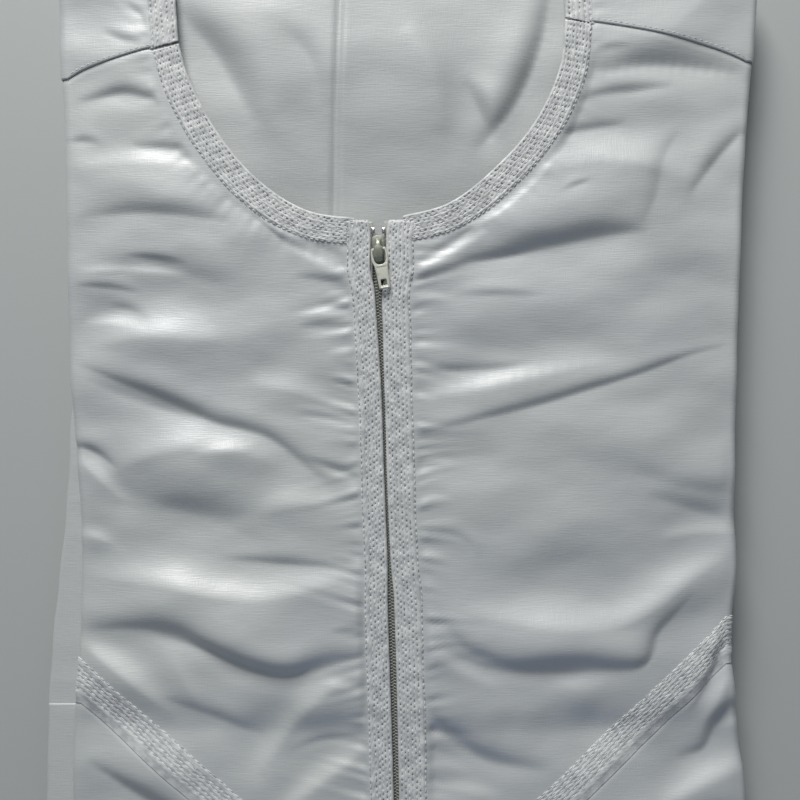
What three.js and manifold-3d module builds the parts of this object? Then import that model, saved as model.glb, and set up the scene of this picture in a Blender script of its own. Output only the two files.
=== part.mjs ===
// A white thobe, folded for storage and laid flat, front upwards. Millimetres, +Z up, +Y towards
// the neck, origin at the middle of the underside. The top layer is real cloth: two chest fronts,
// the lower front, and the back, whose shoulders come over the top fold. Under it the sides,
// sleeve and skirt, folded behind, share one rounded solid with layered edges.
import * as THREE from 'three';
import { mergeVertices } from 'three/addons/utils/BufferGeometryUtils.js';
import Module from 'manifold-3d';

const wasm = await Module();
wasm.setup();

// ---- driving dimensions -------------------------------------------------------------------
const HALF_LENGTH = 240;      // folded length 480, a third of a 1440 garment
const CLOTH = 1.0;            // wall of one panel
const SEAM = 0.3;             // gap between neighbours
const TOP = 21.6;             // top of the cloth in the middle of the chest
const EDGE_DROP = 1.8;        // how much lower the cloth lies at its folded edges
const EDGE_SLOPE = 42;        // width of that slope
const ROLL = 3.2;             // outer radius of a folded edge
const TUCK = 3;               // cloth turned under, past the half round
const CORNER = 16;            // plan radius of the folded corners
const ROLL_STEPS = 5;

const BAND = 12.5;            // topstitched neck band
const PLACKET = { left: 10.8, right: 12.8 };
const CHEST_BAND = 15.5;     // its lowest third is plain, above the V seam
const BAND_WALL = { low: SEAM, high: SEAM + 1 };

const LAYER_TOPS = [5.2, 10.4, 13];   // heights of the hidden folded layers at their edge
const SLEEVE = { low: 11, high: 13.1, wall: 0.9 };

// Sides of the folded body as x at a given y, bottom to top.
const LEFT_SIDE = [[-240, -142], [-128, -142], [-89, -141], [-65, -138.8], [-12, -138.2],
  [23, -140.4], [52, -142.8], [87, -144.1], [160, -145.3], [196, -147.4], [240, -148.5]];
const RIGHT_SIDE = [[-240, 151], [-128, 149.6], [-101, 147], [-58, 143.4], [-29, 145.8],
  [1, 145], [74, 146.6], [150, 149.6], [190, 152.7], [216, 154.8], [240, 155.4]];

// Zip: middle line and half the slit between the two placket edges, as values at a given y.
const ZIP_MIDDLE = [[-206, -0.5], [-128, -1.5], [-42, -3.9], [-25, -4.7], [14, -6.3], [41, -7.05],
  [73.5, -8.5], [91, -9.3], [122.5, -9.2]];
const ZIP_SLIT = [[-206, 0.9], [-128, 1.1], [-42, 1.3], [-25, 0.6], [41, 0.6], [55, 0.7],
  [73.5, 1.1], [91, 1.6], [100, 3.3], [116, 3.3], [122.5, 4.7]];

// Neck edge, from each placket corner up to the shoulder seam.
const NECK = {
  left: [[-13.9, 121.8], [-39.7, 125.4], [-61.7, 139.3], [-79.4, 160.5], [-91, 183], [-95.3, 197.8]],
  right: [[-4.5, 122], [21.9, 129.2], [46, 149], [60.2, 167.3], [68.9, 188], [71.2, 208.2]],
};
const NECK_AT_FOLD = { left: -98.5, right: 70.5 };
const NECK_CENTRE = new THREE.Vector2(-13, 205);
const NECK_RADIUS = 83;

// Shoulder seams: height at the side fold, and how far the seam bows upwards.
const SHOULDER = { left: { side: 183.5, bow: 1.2 }, right: { side: 191, bow: 2 } };
// The V seam across the chest: height at each side fold and at its point on the zip.
const CHEST_SEAM = { left: -87, right: -70, point: -205 };

// Back seen through the neck: its lower end, its drooping neck edge and a soft rise.
const BACK = { low: 82, high: 236, neck: 230, left: -124, right: 128, rise: 2.2 };

// Largest folds: a route over the cloth, a height (down is negative) and a half width.
const FOLDS = [
  { route: [[-134, 172], [-119, 176], [-102, 172]], height: -1.1, width: 6 },
  { route: [[-132, 130], [-100, 124], [-69, 119]], height: -1.3, width: 12 },
  { route: [[-136, 60], [-100, 44], [-68, 33], [-51, 25], [-31, 8]], height: -1.5, width: 8 },
  { route: [[-132, -4], [-68, -4]], height: -1.2, width: 12 },
  { route: [[-96, -55], [-68, -72], [-51, -76], [-19, -69]], height: -1.5, width: 9 },
  { route: [[6, 97], [44, 110], [82, 120], [110, 123]], height: -1.5, width: 9 },
  { route: [[8, 27], [60, 43], [110, 59], [142, 70]], height: -1.4, width: 9 },
  { route: [[78, 172], [115, 178]], height: -1.1, width: 7 },
  { route: [[104, 0], [132, 0]], height: -1, width: 9 },
  { route: [[22, -57], [44, -73], [104, -71], [124, -42]], height: -1.5, width: 9 },
  { route: [[-130, 146], [-70, 148]], height: 0.8, width: 10 },
  { route: [[-130, 14], [-70, 19]], height: 0.9, width: 9 },
  { route: [[-132, -38], [-66, -38], [-19, -36]], height: 1, width: 10 },
  { route: [[138, -16], [93, -49], [33, -47]], height: 1, width: 9 },
  { route: [[20, 72], [120, 92]], height: 0.8, width: 14 },
];
const FOLD_FREE = { near: 4, far: 20 };   // folds fade out this near to a band or an edge

// ---- small helpers --------------------------------------------------------------------------
const mix = (a, b, t) => a + (b - a) * t;
const mixPoint = (p, q, t) => [mix(p[0], q[0], t), mix(p[1], q[1], t)];
const clamp01 = (t) => Math.min(1, Math.max(0, t));
const smooth = (t) => clamp01(t) ** 2 * (3 - 2 * clamp01(t));

// Value at a place in a table of [place, value], with eased slopes so that the line bends softly.
function lookUp(table, place) {
  const last = table.length - 1;
  if (place <= table[0][0]) return table[0][1];
  if (place >= table[last][0]) return table[last][1];
  const k = table.findIndex((row) => row[0] > place) - 1;
  const slope = (n) => {
    const [a, b] = [table[Math.max(0, n - 1)], table[Math.min(last, n + 1)]];
    return (b[1] - a[1]) / (b[0] - a[0]);
  };
  const [[p0, v0], [p1, v1]] = [table[k], table[k + 1]];
  const span = p1 - p0;
  const t = (place - p0) / span;
  return v0 * (1 + 2 * t) * (1 - t) ** 2 + v1 * t * t * (3 - 2 * t)
    + slope(k) * span * t * (1 - t) ** 2 + slope(k + 1) * span * t * t * (t - 1);
}

function distanceToRoute(route, x, y) {
  let nearest = Infinity;
  for (let k = 0; k + 1 < route.length; k += 1) {
    const [[ax, ay], [bx, by]] = [route[k], route[k + 1]];
    const [dx, dy] = [bx - ax, by - ay];
    const t = clamp01(((x - ax) * dx + (y - ay) * dy) / (dx * dx + dy * dy));
    nearest = Math.min(nearest, Math.hypot(x - ax - t * dx, y - ay - t * dy));
  }
  return nearest;
}

const SIDES = {
  left: { out: -1, edge: (y) => lookUp(LEFT_SIDE, y), slit: -1 },
  right: { out: 1, edge: (y) => lookUp(RIGHT_SIDE, y), slit: 1 },
};
// x of a side, moved inwards
const inset = (name, y, by) => SIDES[name].edge(y) - SIDES[name].out * by;
const placketEdge = (name, y) => lookUp(ZIP_MIDDLE, y) + SIDES[name].slit * lookUp(ZIP_SLIT, y);

// ---- the form of the folded cloth -------------------------------------------------------------
// Depth inside the rounded outline and the outward direction there.
function outline(x, y) {
  const [fromLeft, fromRight] = [x - SIDES.left.edge(y), SIDES.right.edge(y) - x];
  const across = Math.min(fromLeft, fromRight);
  const lengthways = HALF_LENGTH - Math.abs(y);
  const outX = fromLeft < fromRight ? -1 : 1;
  const outY = Math.sign(y);
  if (across < CORNER && lengthways < CORNER) {
    const [cx, cy] = [CORNER - across, CORNER - lengthways];
    const reach = Math.hypot(cx, cy);
    return { depth: CORNER - reach, nx: (outX * cx) / reach, ny: (outY * cy) / reach };
  }
  if (across < lengthways) return { depth: across, nx: outX, ny: 0 };
  return { depth: lengthways, nx: 0, ny: outY };
}

const plainTop = (x, y) => {
  const { depth } = outline(x, y);
  return TOP - EDGE_DROP * (1 - smooth((depth - ROLL) / EDGE_SLOPE));
};

const chestSeamAt = (name, t) => mixPoint(
  [placketEdge(name, CHEST_SEAM.point), CHEST_SEAM.point],
  [inset(name, CHEST_SEAM[name], ROLL), CHEST_SEAM[name]], t);

function foldFade(x, y) {
  const side = x < lookUp(ZIP_MIDDLE, y) ? 'left' : 'right';
  const fromZip = Math.abs(x - lookUp(ZIP_MIDDLE, y)) - 12;
  const fromNeck = Math.hypot(x - NECK_CENTRE.x, y - NECK_CENTRE.y) - NECK_RADIUS - BAND;
  const fromSeam = distanceToRoute([chestSeamAt(side, 0), chestSeamAt(side, 1)], x, y) - CHEST_BAND;
  const nearest = Math.min(fromZip, fromNeck, fromSeam, outline(x, y).depth);
  return smooth((nearest - FOLD_FREE.near) / (FOLD_FREE.far - FOLD_FREE.near));
}

const clothTop = (x, y) => plainTop(x, y) + foldFade(x, y) * FOLDS.reduce(
  (sum, fold) => sum + fold.height * Math.exp(-((distanceToRoute(fold.route, x, y) / fold.width) ** 2)), 0);

// Lays a flat place of the cloth over the form: level inside, then round the folded edge and under.
function drape(x, y, lift) {
  const { depth, nx, ny } = outline(x, y);
  if (depth >= ROLL) return new THREE.Vector3(x, y, clothTop(x, y) + lift);
  const run = ROLL - depth;
  const [bx, by] = [x - nx * run, y - ny * run];
  const turn = Math.min(run / ROLL, Math.PI);
  const out = (ROLL + lift) * Math.sin(turn) - (run - turn * ROLL);
  const z = clothTop(bx, by) - ROLL + (ROLL + lift) * Math.cos(turn);
  return new THREE.Vector3(bx + nx * out, by + ny * out, z);
}

// ---- closed walls ------------------------------------------------------------------------------
function meshFrom(vertices, faces) {
  const geometry = new THREE.BufferGeometry();
  const numbers = vertices.flatMap((v) => v.toArray());
  geometry.setAttribute('position', new THREE.Float32BufferAttribute(numbers, 3));
  geometry.setIndex(faces);
  return geometry;
}

// A wall over a grid of flat places, rows[j][i], between two lifts above a surface.
function wall(rows, low, high, surface = drape) {
  const [m, n] = [rows.length, rows[0].length];
  const layerAt = (lift) => rows.flatMap((row) => row.map(([x, y]) => surface(x, y, lift)));
  const vertices = [...layerAt(high), ...layerAt(low)];
  const at = (j, i, layer) => layer * m * n + j * n + i;
  const [[ax, ay], [bx, by], [cx, cy]] = [rows[0][0], rows[0][1], rows[1][0]];
  const rightHanded = (bx - ax) * (cy - ay) - (by - ay) * (cx - ax) > 0;
  const faces = [];
  const quad = (a, b, c, d) => faces.push(...(rightHanded ? [a, b, c, a, c, d] : [a, c, b, a, d, c]));
  for (let j = 0; j + 1 < m; j += 1) {
    for (let i = 0; i + 1 < n; i += 1) {
      quad(at(j, i, 0), at(j, i + 1, 0), at(j + 1, i + 1, 0), at(j + 1, i, 0));
      quad(at(j, i, 1), at(j + 1, i, 1), at(j + 1, i + 1, 1), at(j, i + 1, 1));
    }
    quad(at(j, 0, 0), at(j + 1, 0, 0), at(j + 1, 0, 1), at(j, 0, 1));
    quad(at(j, n - 1, 0), at(j, n - 1, 1), at(j + 1, n - 1, 1), at(j + 1, n - 1, 0));
  }
  for (let i = 0; i + 1 < n; i += 1) {
    quad(at(0, i, 0), at(0, i, 1), at(0, i + 1, 1), at(0, i + 1, 0));
    quad(at(m - 1, i, 0), at(m - 1, i + 1, 0), at(m - 1, i + 1, 1), at(m - 1, i, 1));
  }
  return meshFrom(vertices, faces);
}

// Rings of equal point count stacked from a bottom cap to a top cap, each cap a fan to a middle point.
function stackedRings(rings, bottom, top) {
  const n = rings[0].length;
  const faces = [];
  const [low, high] = [rings.length * n, rings.length * n + 1];
  for (let i = 0; i < n; i += 1) {
    const next = (i + 1) % n;
    for (let k = 0; k + 1 < rings.length; k += 1) {
      const [a, b, c, d] = [k * n + i, k * n + next, (k + 1) * n + next, (k + 1) * n + i];
      faces.push(a, b, c, a, c, d);
    }
    faces.push(low, next, i, high, (rings.length - 1) * n + i, (rings.length - 1) * n + next);
  }
  return meshFrom([...rings.flat(), bottom, top], faces);
}

// ---- booleans -------------------------------------------------------------------------------------
function toSolid(geometry) {
  const bare = geometry.clone();
  bare.deleteAttribute('normal');
  bare.deleteAttribute('uv');
  const merged = mergeVertices(bare, 1e-4);
  return new wasm.Manifold(new wasm.Mesh({
    numProp: 3,
    vertProperties: new Float32Array(merged.attributes.position.array),
    triVerts: new Uint32Array(merged.index.array),
  }));
}

function toGeometry(solid) {
  const { vertProperties, triVerts } = solid.getMesh();
  const geometry = new THREE.BufferGeometry();
  geometry.setAttribute('position', new THREE.Float32BufferAttribute(vertProperties, 3));
  geometry.setIndex(Array.from(triVerts));
  return geometry;
}

const joined = (...geometries) => toGeometry(geometries.map(toSolid).reduce((sum, next) => sum.add(next)));

// ---- the part's group and finishes ------------------------------------------------------------------
const CLOTH_FINISH = { color: 0xd3d7d8, roughness: 0.42, metalness: 0 };
const TAPE_FINISH = { color: 0xc9c8bd, roughness: 0.8, metalness: 0 };
const COIL_FINISH = { color: 0x8c8c80, roughness: 0.4, metalness: 0 };
const SLIDER_FINISH = { color: 0x8b8f82, roughness: 0.35, metalness: 0.5 };
const PULL_FINISH = { color: 0xd9dbd0, roughness: 0.35, metalness: 0.3 };
const STOP_FINISH = { color: 0xb5b5b0, roughness: 0.25, metalness: 0.9 };

const thobe = new THREE.Group();

function add(name, geometry, finish, place = thobe) {
  const mesh = new THREE.Mesh(geometry, new THREE.MeshStandardMaterial(finish));
  mesh.name = name;
  place.add(mesh);
  return mesh;
}

// Distances past the level part at each step of a folded edge, its tuck last.
const ROLL_RUNS = [...Array.from({ length: ROLL_STEPS }, (_, k) => (Math.PI * ROLL * (k + 1)) / ROLL_STEPS),
  Math.PI * ROLL + TUCK];
// The same, from the centre line of a rounded corner.
const CORNER_RUNS = [(CORNER - ROLL) / 2, CORNER - ROLL, ...ROLL_RUNS.map((run) => CORNER - ROLL + run)];

// Turns a square corner of the grid into a sector: the larger count sets the radius.
function cornerPlace(a, b, centre, outX, outY) {
  const angle = a >= b ? (Math.PI / 4) * (b / a) : Math.PI / 2 - (Math.PI / 4) * (a / b);
  const reach = CORNER_RUNS[Math.max(a, b) - 1];
  return [centre[0] + outX * reach * Math.cos(angle), centre[1] + outY * reach * Math.sin(angle)];
}

// ---- chest fronts -------------------------------------------------------------------------------------
const ZIP_ROWS = 15;
const NECK_ROWS = 8;
const FRONT_COLUMNS = 8;

const neckCurve = (name) => new THREE.SplineCurve(NECK[name].map(([x, y]) => new THREE.Vector2(x, y)));

function frontGrid(name) {
  const curve = neckCurve(name);
  const corner = NECK[name][0][1];
  const inner = [];
  for (let k = 0; k < ZIP_ROWS; k += 1) {
    const y = mix(CHEST_SEAM.point, corner, k / ZIP_ROWS);
    inner.push([placketEdge(name, y), y]);
  }
  curve.getPoints(NECK_ROWS).forEach(({ x, y }) => inner.push([x, y]));
  const { side, bow } = SHOULDER[name];
  return inner.map((start, j) => {
    const t = j / (inner.length - 1);
    const y = mix(CHEST_SEAM[name], side, t);
    const row = [];
    for (let i = 0; i <= FRONT_COLUMNS; i += 1) {
      const u = i / FRONT_COLUMNS;
      const place = mixPoint(start, [inset(name, y, ROLL), y], u);
      row.push([place[0], place[1] + 4 * bow * u * (1 - u) * t]);
    }
    ROLL_RUNS.forEach((run) => row.push([inset(name, y, ROLL - run), y]));
    return row;
  });
}

['left', 'right'].forEach((name) => add(`front_${name}`, wall(frontGrid(name), -CLOTH, 0), CLOTH_FINISH));

// ---- lower front, below the V seam ---------------------------------------------------------------------
const LOWER_COLUMNS = 6;     // on each side of the point
const LOWER_ROWS = 5;

function lowerFrontGrid() {
  const base = -HALF_LENGTH + CORNER;
  const centreX = { left: inset('left', base, CORNER), right: inset('right', base, CORNER) };
  const steps = CORNER_RUNS.length;
  const half = LOWER_COLUMNS;
  const rows = [];
  // level column c runs from -half (left corner line) to half (right corner line)
  const column = (c, v) => {
    const name = c <= 0 ? 'left' : 'right';
    const t = Math.abs(c) / half;
    const atSide = inset(name, CHEST_SEAM[name], CORNER);
    const seamEnd = [atSide, CHEST_SEAM[name]];
    const reach = (atSide - placketEdge(name, CHEST_SEAM.point))
      / (chestSeamAt(name, 1)[0] - placketEdge(name, CHEST_SEAM.point));
    const point = [lookUp(ZIP_MIDDLE, CHEST_SEAM.point), CHEST_SEAM.point - 1];
    const top = c === 0 ? point : chestSeamAt(name, t * reach);
    const foot = [mix((centreX.left + centreX.right) / 2, centreX[name], t), base];
    const place = mixPoint(foot, [top[0], top[1] - 1.6 * SEAM], v);
    const sideX = mix(centreX[name], seamEnd[0], v);
    place[0] += t * (inset(name, mix(base, seamEnd[1], v), CORNER) - sideX);
    return place;
  };
  const sideRow = (name, a, v) => {
    const start = [inset(name, CHEST_SEAM[name], CORNER), chestSeamAt(name, 1)[1]];
    const reach = CORNER_RUNS[a - 1];
    // the seam climbs to the level line's end, then runs straight round the fold
    const climb = clamp01(reach / (CORNER - ROLL));
    const atCorner = column(name === 'left' ? -half : half, 1)[1];
    const y = mix(base, mix(atCorner, start[1] - 1.6 * SEAM, climb), v);
    return [inset(name, y, CORNER - reach), y];
  };
  for (let b = steps; b >= 1; b -= 1) {
    const row = [];
    for (let a = steps; a >= 1; a -= 1) row.push(cornerPlace(a, b, [centreX.left, base], -1, -1));
    for (let c = -half; c <= half; c += 1) row.push([column(c, 0)[0], base - CORNER_RUNS[b - 1]]);
    for (let a = 1; a <= steps; a += 1) row.push(cornerPlace(a, b, [centreX.right, base], 1, -1));
    rows.push(row);
  }
  for (let k = 0; k <= LOWER_ROWS; k += 1) {
    const v = k / LOWER_ROWS;
    const row = [];
    for (let a = steps; a >= 1; a -= 1) row.push(sideRow('left', a, v));
    for (let c = -half; c <= half; c += 1) row.push(column(c, v));
    for (let a = 1; a <= steps; a += 1) row.push(sideRow('right', a, v));
    rows.push(row);
  }
  return rows;
}

add('front_lower', wall(lowerFrontGrid(), -CLOTH, 0), CLOTH_FINISH);

// ---- back: shoulders over the top fold, and the inside seen through the neck ---------------------------
const SHOULDER_COLUMNS = 4;
const SHOULDER_ROWS = 2;

function shoulderGrid(name) {
  const { out } = SIDES[name];
  const { side, bow } = SHOULDER[name];
  const neckPoint = NECK[name].at(-1);
  const base = HALF_LENGTH - CORNER;
  const steps = CORNER_RUNS.length;
  const seamStart = [neckPoint[0], neckPoint[1] + SEAM];
  const seamEnd = [inset(name, side, ROLL), side + SEAM];
  const level = (u, v) => {
    const rise = v * (base - neckPoint[1]) / (HALF_LENGTH - neckPoint[1]);
    const neckX = mix(neckPoint[0], NECK_AT_FOLD[name], rise);
    const reach = (inset(name, side, CORNER) - seamStart[0]) / (seamEnd[0] - seamStart[0]);
    const t = u * reach;
    const foot = mixPoint(seamStart, seamEnd, t);
    foot[1] += 4 * bow * t * (1 - t);
    const y = mix(foot[1], base, v);
    return [mix(neckX, inset(name, y, CORNER), u), y];
  };
  const sideFoot = (a) => {
    const reach = CORNER_RUNS[a - 1];
    const climb = clamp01(reach / (CORNER - ROLL));
    return mix(level(1, 0)[1], seamEnd[1], climb);
  };
  const rows = [];
  for (let k = 0; k <= SHOULDER_ROWS; k += 1) {
    const v = k / SHOULDER_ROWS;
    const row = [];
    for (let i = 0; i <= SHOULDER_COLUMNS; i += 1) row.push(level(i / SHOULDER_COLUMNS, v));
    for (let a = 1; a <= steps; a += 1) {
      const y = mix(sideFoot(a), base, v);
      row.push([inset(name, y, CORNER - CORNER_RUNS[a - 1]), y]);
    }
    rows.push(row);
  }
  for (let b = 1; b <= steps; b += 1) {
    const y = base + CORNER_RUNS[b - 1];
    const row = [];
    for (let i = 0; i <= SHOULDER_COLUMNS; i += 1) {
      const neckX = mix(level(0, 1)[0], NECK_AT_FOLD[name], clamp01((y - base) / CORNER));
      row.push([mix(neckX, inset(name, base, CORNER), i / SHOULDER_COLUMNS), y]);
    }
    for (let a = 1; a <= steps; a += 1) {
      row.push(cornerPlace(a, b, [inset(name, base, CORNER), base], out, 1));
    }
    rows.push(row);
  }
  return rows;
}

// The inside of the back lies one fold lower, and rises softly under the neck.
const backRise = (x, y) => BACK.rise * Math.exp(-(((x + 9) / 62) ** 2) - (((y - 180) / 34) ** 2));
const backInside = (x, y, lift) => new THREE.Vector3(x, y, plainTop(x, y) - 2 * ROLL + backRise(x, y) + lift);

function backInsideGrid() {
  const rows = [];
  const [columns, count] = [14, 8];
  for (let j = 0; j <= count; j += 1) {
    const row = [];
    for (let i = 0; i <= columns; i += 1) {
      const x = mix(BACK.left, BACK.right, i / columns);
      const neckEdge = BACK.neck + 6 * ((x - NECK_CENTRE.x) / 80) ** 2;
      row.push([x, mix(BACK.low, Math.min(BACK.high, neckEdge), j / count)]);
    }
    rows.push(row);
  }
  return rows;
}

const OVERLAP = 0.06;   // the inside reaches past the tucked lips, so that the three join
add('back', joined(
  wall(backInsideGrid(), -OVERLAP, CLOTH + OVERLAP, backInside),
  wall(shoulderGrid('left'), -CLOTH, 0),
  wall(shoulderGrid('right'), -CLOTH, 0),
), CLOTH_FINISH);

// ---- topstitched bands lying on the panels -----------------------------------------------------------
function strip(edge, across) {
  return edge.map((place, k) => {
    const [before, after] = [edge[Math.max(0, k - 1)], edge[Math.min(edge.length - 1, k + 1)]];
    const [dx, dy] = [after[0] - before[0], after[1] - before[1]];
    const length = Math.hypot(dx, dy);
    const far = [place[0] + (across * dy) / length, place[1] - (across * dx) / length];
    return [place, mixPoint(place, far, 0.5), far];
  });
}

function neckBand(name) {
  const edge = neckCurve(name).getPoints(14).map(({ x, y }) => [x, y]);
  edge[edge.length - 1][1] -= SEAM;
  const rows = strip(edge, name === 'left' ? -BAND : BAND);
  rows[0] = rows[0].map(([, y]) => [edge[0][0], y]);
  // the last row follows the shoulder seam
  const { side } = SHOULDER[name];
  const end = edge.at(-1);
  const slope = (side - end[1]) / (inset(name, side, ROLL) - end[0]);
  rows[rows.length - 1] = [0, 0.5, 1].map((t) => {
    const x = end[0] + SIDES[name].out * BAND * t;
    return [x, end[1] + slope * (x - end[0]) - SEAM];
  });
  return wall(rows, BAND_WALL.low, BAND_WALL.high);
}

function backNeckBand(name) {
  const { out } = SIDES[name];
  const [startX, startY] = NECK[name].at(-1);
  const { side, bow } = SHOULDER[name];
  const slope = (side - startY) / (inset(name, side, ROLL) - startX);
  const level = HALF_LENGTH - ROLL;
  const climbs = [0, 0.35, 0.7, 1];
  const atFold = mix(startX, NECK_AT_FOLD[name], 1);
  const rows = climbs.map((t) => [0, 0.5, 1].map((u) => {
    const foot = startY + 2 * SEAM + (slope * out * BAND + 0.7 * bow) * u;
    return [mix(startX, atFold, t) + out * BAND * u, mix(foot, level, t)];
  }));
  ROLL_RUNS.slice(0, ROLL_STEPS - 1).forEach((run) => {
    rows.push([0, 0.5, 1].map((u) => [atFold + out * BAND * u, level + run]));
  });
  return wall(rows, BAND_WALL.low, BAND_WALL.high);
}

const chestBandRise = (name) => {
  const [[ax, ay], [bx, by]] = [chestSeamAt(name, 0), chestSeamAt(name, 1)];
  return (CHEST_BAND * Math.hypot(bx - ax, by - ay)) / Math.abs(bx - ax);
};

function chestBand(name) {
  const rise = chestBandRise(name);
  const [lowEdge, highEdge] = [SEAM, rise];
  const count = 9;
  const rows = [];
  for (let k = 0; k <= count; k += 1) {
    const t = k / count;
    rows.push([lowEdge, highEdge].map((up) => {
      const start = [placketEdge(name, CHEST_SEAM.point + up), CHEST_SEAM.point + up];
      const y = CHEST_SEAM[name] + up;
      return mixPoint(start, [inset(name, y, ROLL), y], t);
    }));
  }
  ROLL_RUNS.slice(0, ROLL_STEPS - 2).forEach((run) => {
    rows.push([lowEdge, highEdge].map((up) => {
      const y = CHEST_SEAM[name] + up;
      return [inset(name, y, ROLL - run), y];
    }));
  });
  return wall(rows, BAND_WALL.low, BAND_WALL.high);
}

function placket(name) {
  const { out } = SIDES[name];
  const width = PLACKET[name];
  const slope = (chestSeamAt(name, 1)[1] - chestSeamAt(name, 0)[1])
    / Math.abs(chestSeamAt(name, 1)[0] - chestSeamAt(name, 0)[0]);
  const foot = CHEST_SEAM.point + chestBandRise(name) + 2 * SEAM;
  const top = NECK[name][0][1] - BAND - 2.5 * SEAM;
  const count = 16;
  const rows = [];
  for (let k = 0; k <= count; k += 1) {
    rows.push([0, width].map((across) => {
      const y = mix(foot + slope * across, top, k / count);
      return [placketEdge(name, y) + out * across, y];
    }));
  }
  return wall(rows, BAND_WALL.low, BAND_WALL.high);
}

['left', 'right'].forEach((name) => {
  add(`neck_band_${name}`, neckBand(name), CLOTH_FINISH);
  add(`back_neck_band_${name}`, backNeckBand(name), CLOTH_FINISH);
  add(`placket_${name}`, placket(name), CLOTH_FINISH);
  add(`chest_band_${name}`, chestBand(name), CLOTH_FINISH);
});

// ---- zip ------------------------------------------------------------------------------------------------
const ZIP_FOOT = CHEST_SEAM.point + 8;
const TAPE = { near: 2.5, far: 11, low: -CLOTH - SEAM - 1, high: -CLOTH - SEAM };
const COIL = { half: 2.2, low: -3.1, high: -1.3, top: 106 };
const SLIDER = { y: 108.4, half: 3, foot: -6.2, head: 6.4 };

['left', 'right'].forEach((name) => {
  const { out } = SIDES[name];
  const top = NECK[name][0][1] - 1;
  const rows = Array.from({ length: 17 }, (_, k) => {
    const y = mix(ZIP_FOOT, top, k / 16);
    return [TAPE.near, TAPE.far].map((across) => [lookUp(ZIP_MIDDLE, y) + out * across, y]);
  });
  add(`zip_tape_${name}`, wall(rows, TAPE.low, TAPE.high), TAPE_FINISH);
});

function coil() {
  const count = 20;
  const middle = (COIL.low + COIL.high) / 2;
  const thick = (COIL.high - COIL.low) / 2;
  const rings = Array.from({ length: count + 1 }, (_, k) => {
    const y = mix(ZIP_FOOT, COIL.top, k / count);
    const x = lookUp(ZIP_MIDDLE, y);
    return Array.from({ length: 8 }, (__, i) => {
      const angle = (Math.PI * (2 * i + 1)) / 8;
      const place = new THREE.Vector3(x + COIL.half * Math.cos(angle), y, clothTop(x, y) + middle);
      place.z += thick * Math.sin(angle);
      return place;
    });
  });
  const end = (y) => new THREE.Vector3(lookUp(ZIP_MIDDLE, y), y, clothTop(lookUp(ZIP_MIDDLE, y), y) + middle);
  // rings run along +Y, so their order is turned to face outwards
  return stackedRings(rings.map((ring) => [...ring].reverse()), end(ZIP_FOOT), end(COIL.top));
}

add('zip_coil', coil(), COIL_FINISH);

// A plate cut to an outline, from one height to another.
function plate(points, low, high) {
  const shape = new THREE.Shape(points.map(([x, y]) => new THREE.Vector2(x, y)));
  const geometry = new THREE.ExtrudeGeometry(shape, { depth: high - low, bevelEnabled: false });
  return geometry.translate(0, 0, low);
}

// A profile in y and z, carried across x.
function across(points, half) {
  const shape = new THREE.Shape(points.map(([y, z]) => new THREE.Vector2(y, z)));
  const geometry = new THREE.ExtrudeGeometry(shape, { depth: 2 * half, bevelEnabled: false });
  return geometry.rotateX(Math.PI / 2).rotateZ(Math.PI / 2).translate(-half, 0, 0);
}

const PIN_HEIGHT = 2.2;      // pin of the pull above the cloth
const BRIDGE = { foot: -5, head: 4.7, under: 3.2, over: 4, half: 1.2, legs: 1, sunk: -0.5, shoulder: 2 };
const LOWER_SHIELD = [-4.4, -3.4];      // heights of each part of the slider, from the cloth
const UPPER_SHIELD = [-1, 0.2];
const WEDGE = [-3.6, -0.8];
const RAIL = { near: 2.55, far: 2.95, heights: [-3.6, -2.65] };
const CAP = { half: 1.65, foot: -3.6, head: 1.8, sunk: 0.3, proud: 0.35 };

// Slider about the pin's place: two shield plates, the wedge between them and the bridge above.
function slider() {
  const { half, foot, head } = SLIDER;
  const shield = [[-half + 0.5, foot], [half - 0.5, foot], [half, foot + 1.2], [half, head - 3],
    [half - 1.2, head - 0.6], [0.9, head], [-0.9, head], [-half + 1.2, head - 0.6],
    [-half, head - 3], [-half, foot + 1.2]];
  const { under, over, legs, sunk, shoulder } = BRIDGE;
  const arch = [[BRIDGE.foot, sunk], [BRIDGE.foot, shoulder], [BRIDGE.foot + 1.4, over - 0.5],
    [-2, over], [2, over], [BRIDGE.head - 1.2, over - 0.4], [BRIDGE.head, shoulder],
    [BRIDGE.head, sunk], [BRIDGE.head - legs, sunk], [BRIDGE.head - legs, shoulder],
    [1.9, under], [-1.9, under], [BRIDGE.foot + legs, shoulder], [BRIDGE.foot + legs, sunk]];
  const narrow = CAP.half - 0.45;
  const cap = [[-narrow, CAP.foot], [narrow, CAP.foot], [CAP.half, CAP.foot + 0.6], [CAP.half, CAP.head - 1],
    [narrow, CAP.head], [-narrow, CAP.head], [-CAP.half, CAP.head - 1], [-CAP.half, CAP.foot + 0.6]];
  const wedge = [[0, 1.6], [1.4, 4.6], [0.7, head - 0.4], [-0.7, head - 0.4], [-1.4, 4.6]];
  const rail = (side) => plate([[side * RAIL.near, foot + 0.5], [side * RAIL.far, foot + 0.5],
    [side * RAIL.far, head - 4], [side * RAIL.near, head - 4]], ...RAIL.heights);
  return joined(
    plate(shield, ...LOWER_SHIELD),
    plate(shield, ...UPPER_SHIELD),
    plate(wedge, ...WEDGE),
    rail(-1),
    rail(1),
    across(arch, BRIDGE.half),
    plate(cap, over - CAP.sunk, over + CAP.proud),
  );
}

const zipTop = new THREE.Group();
zipTop.position.set(lookUp(ZIP_MIDDLE, SLIDER.y), SLIDER.y, clothTop(lookUp(ZIP_MIDDLE, SLIDER.y), SLIDER.y));
thobe.add(zipTop);
add('zip_slider', slider(), SLIDER_FINISH, zipTop);

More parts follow.
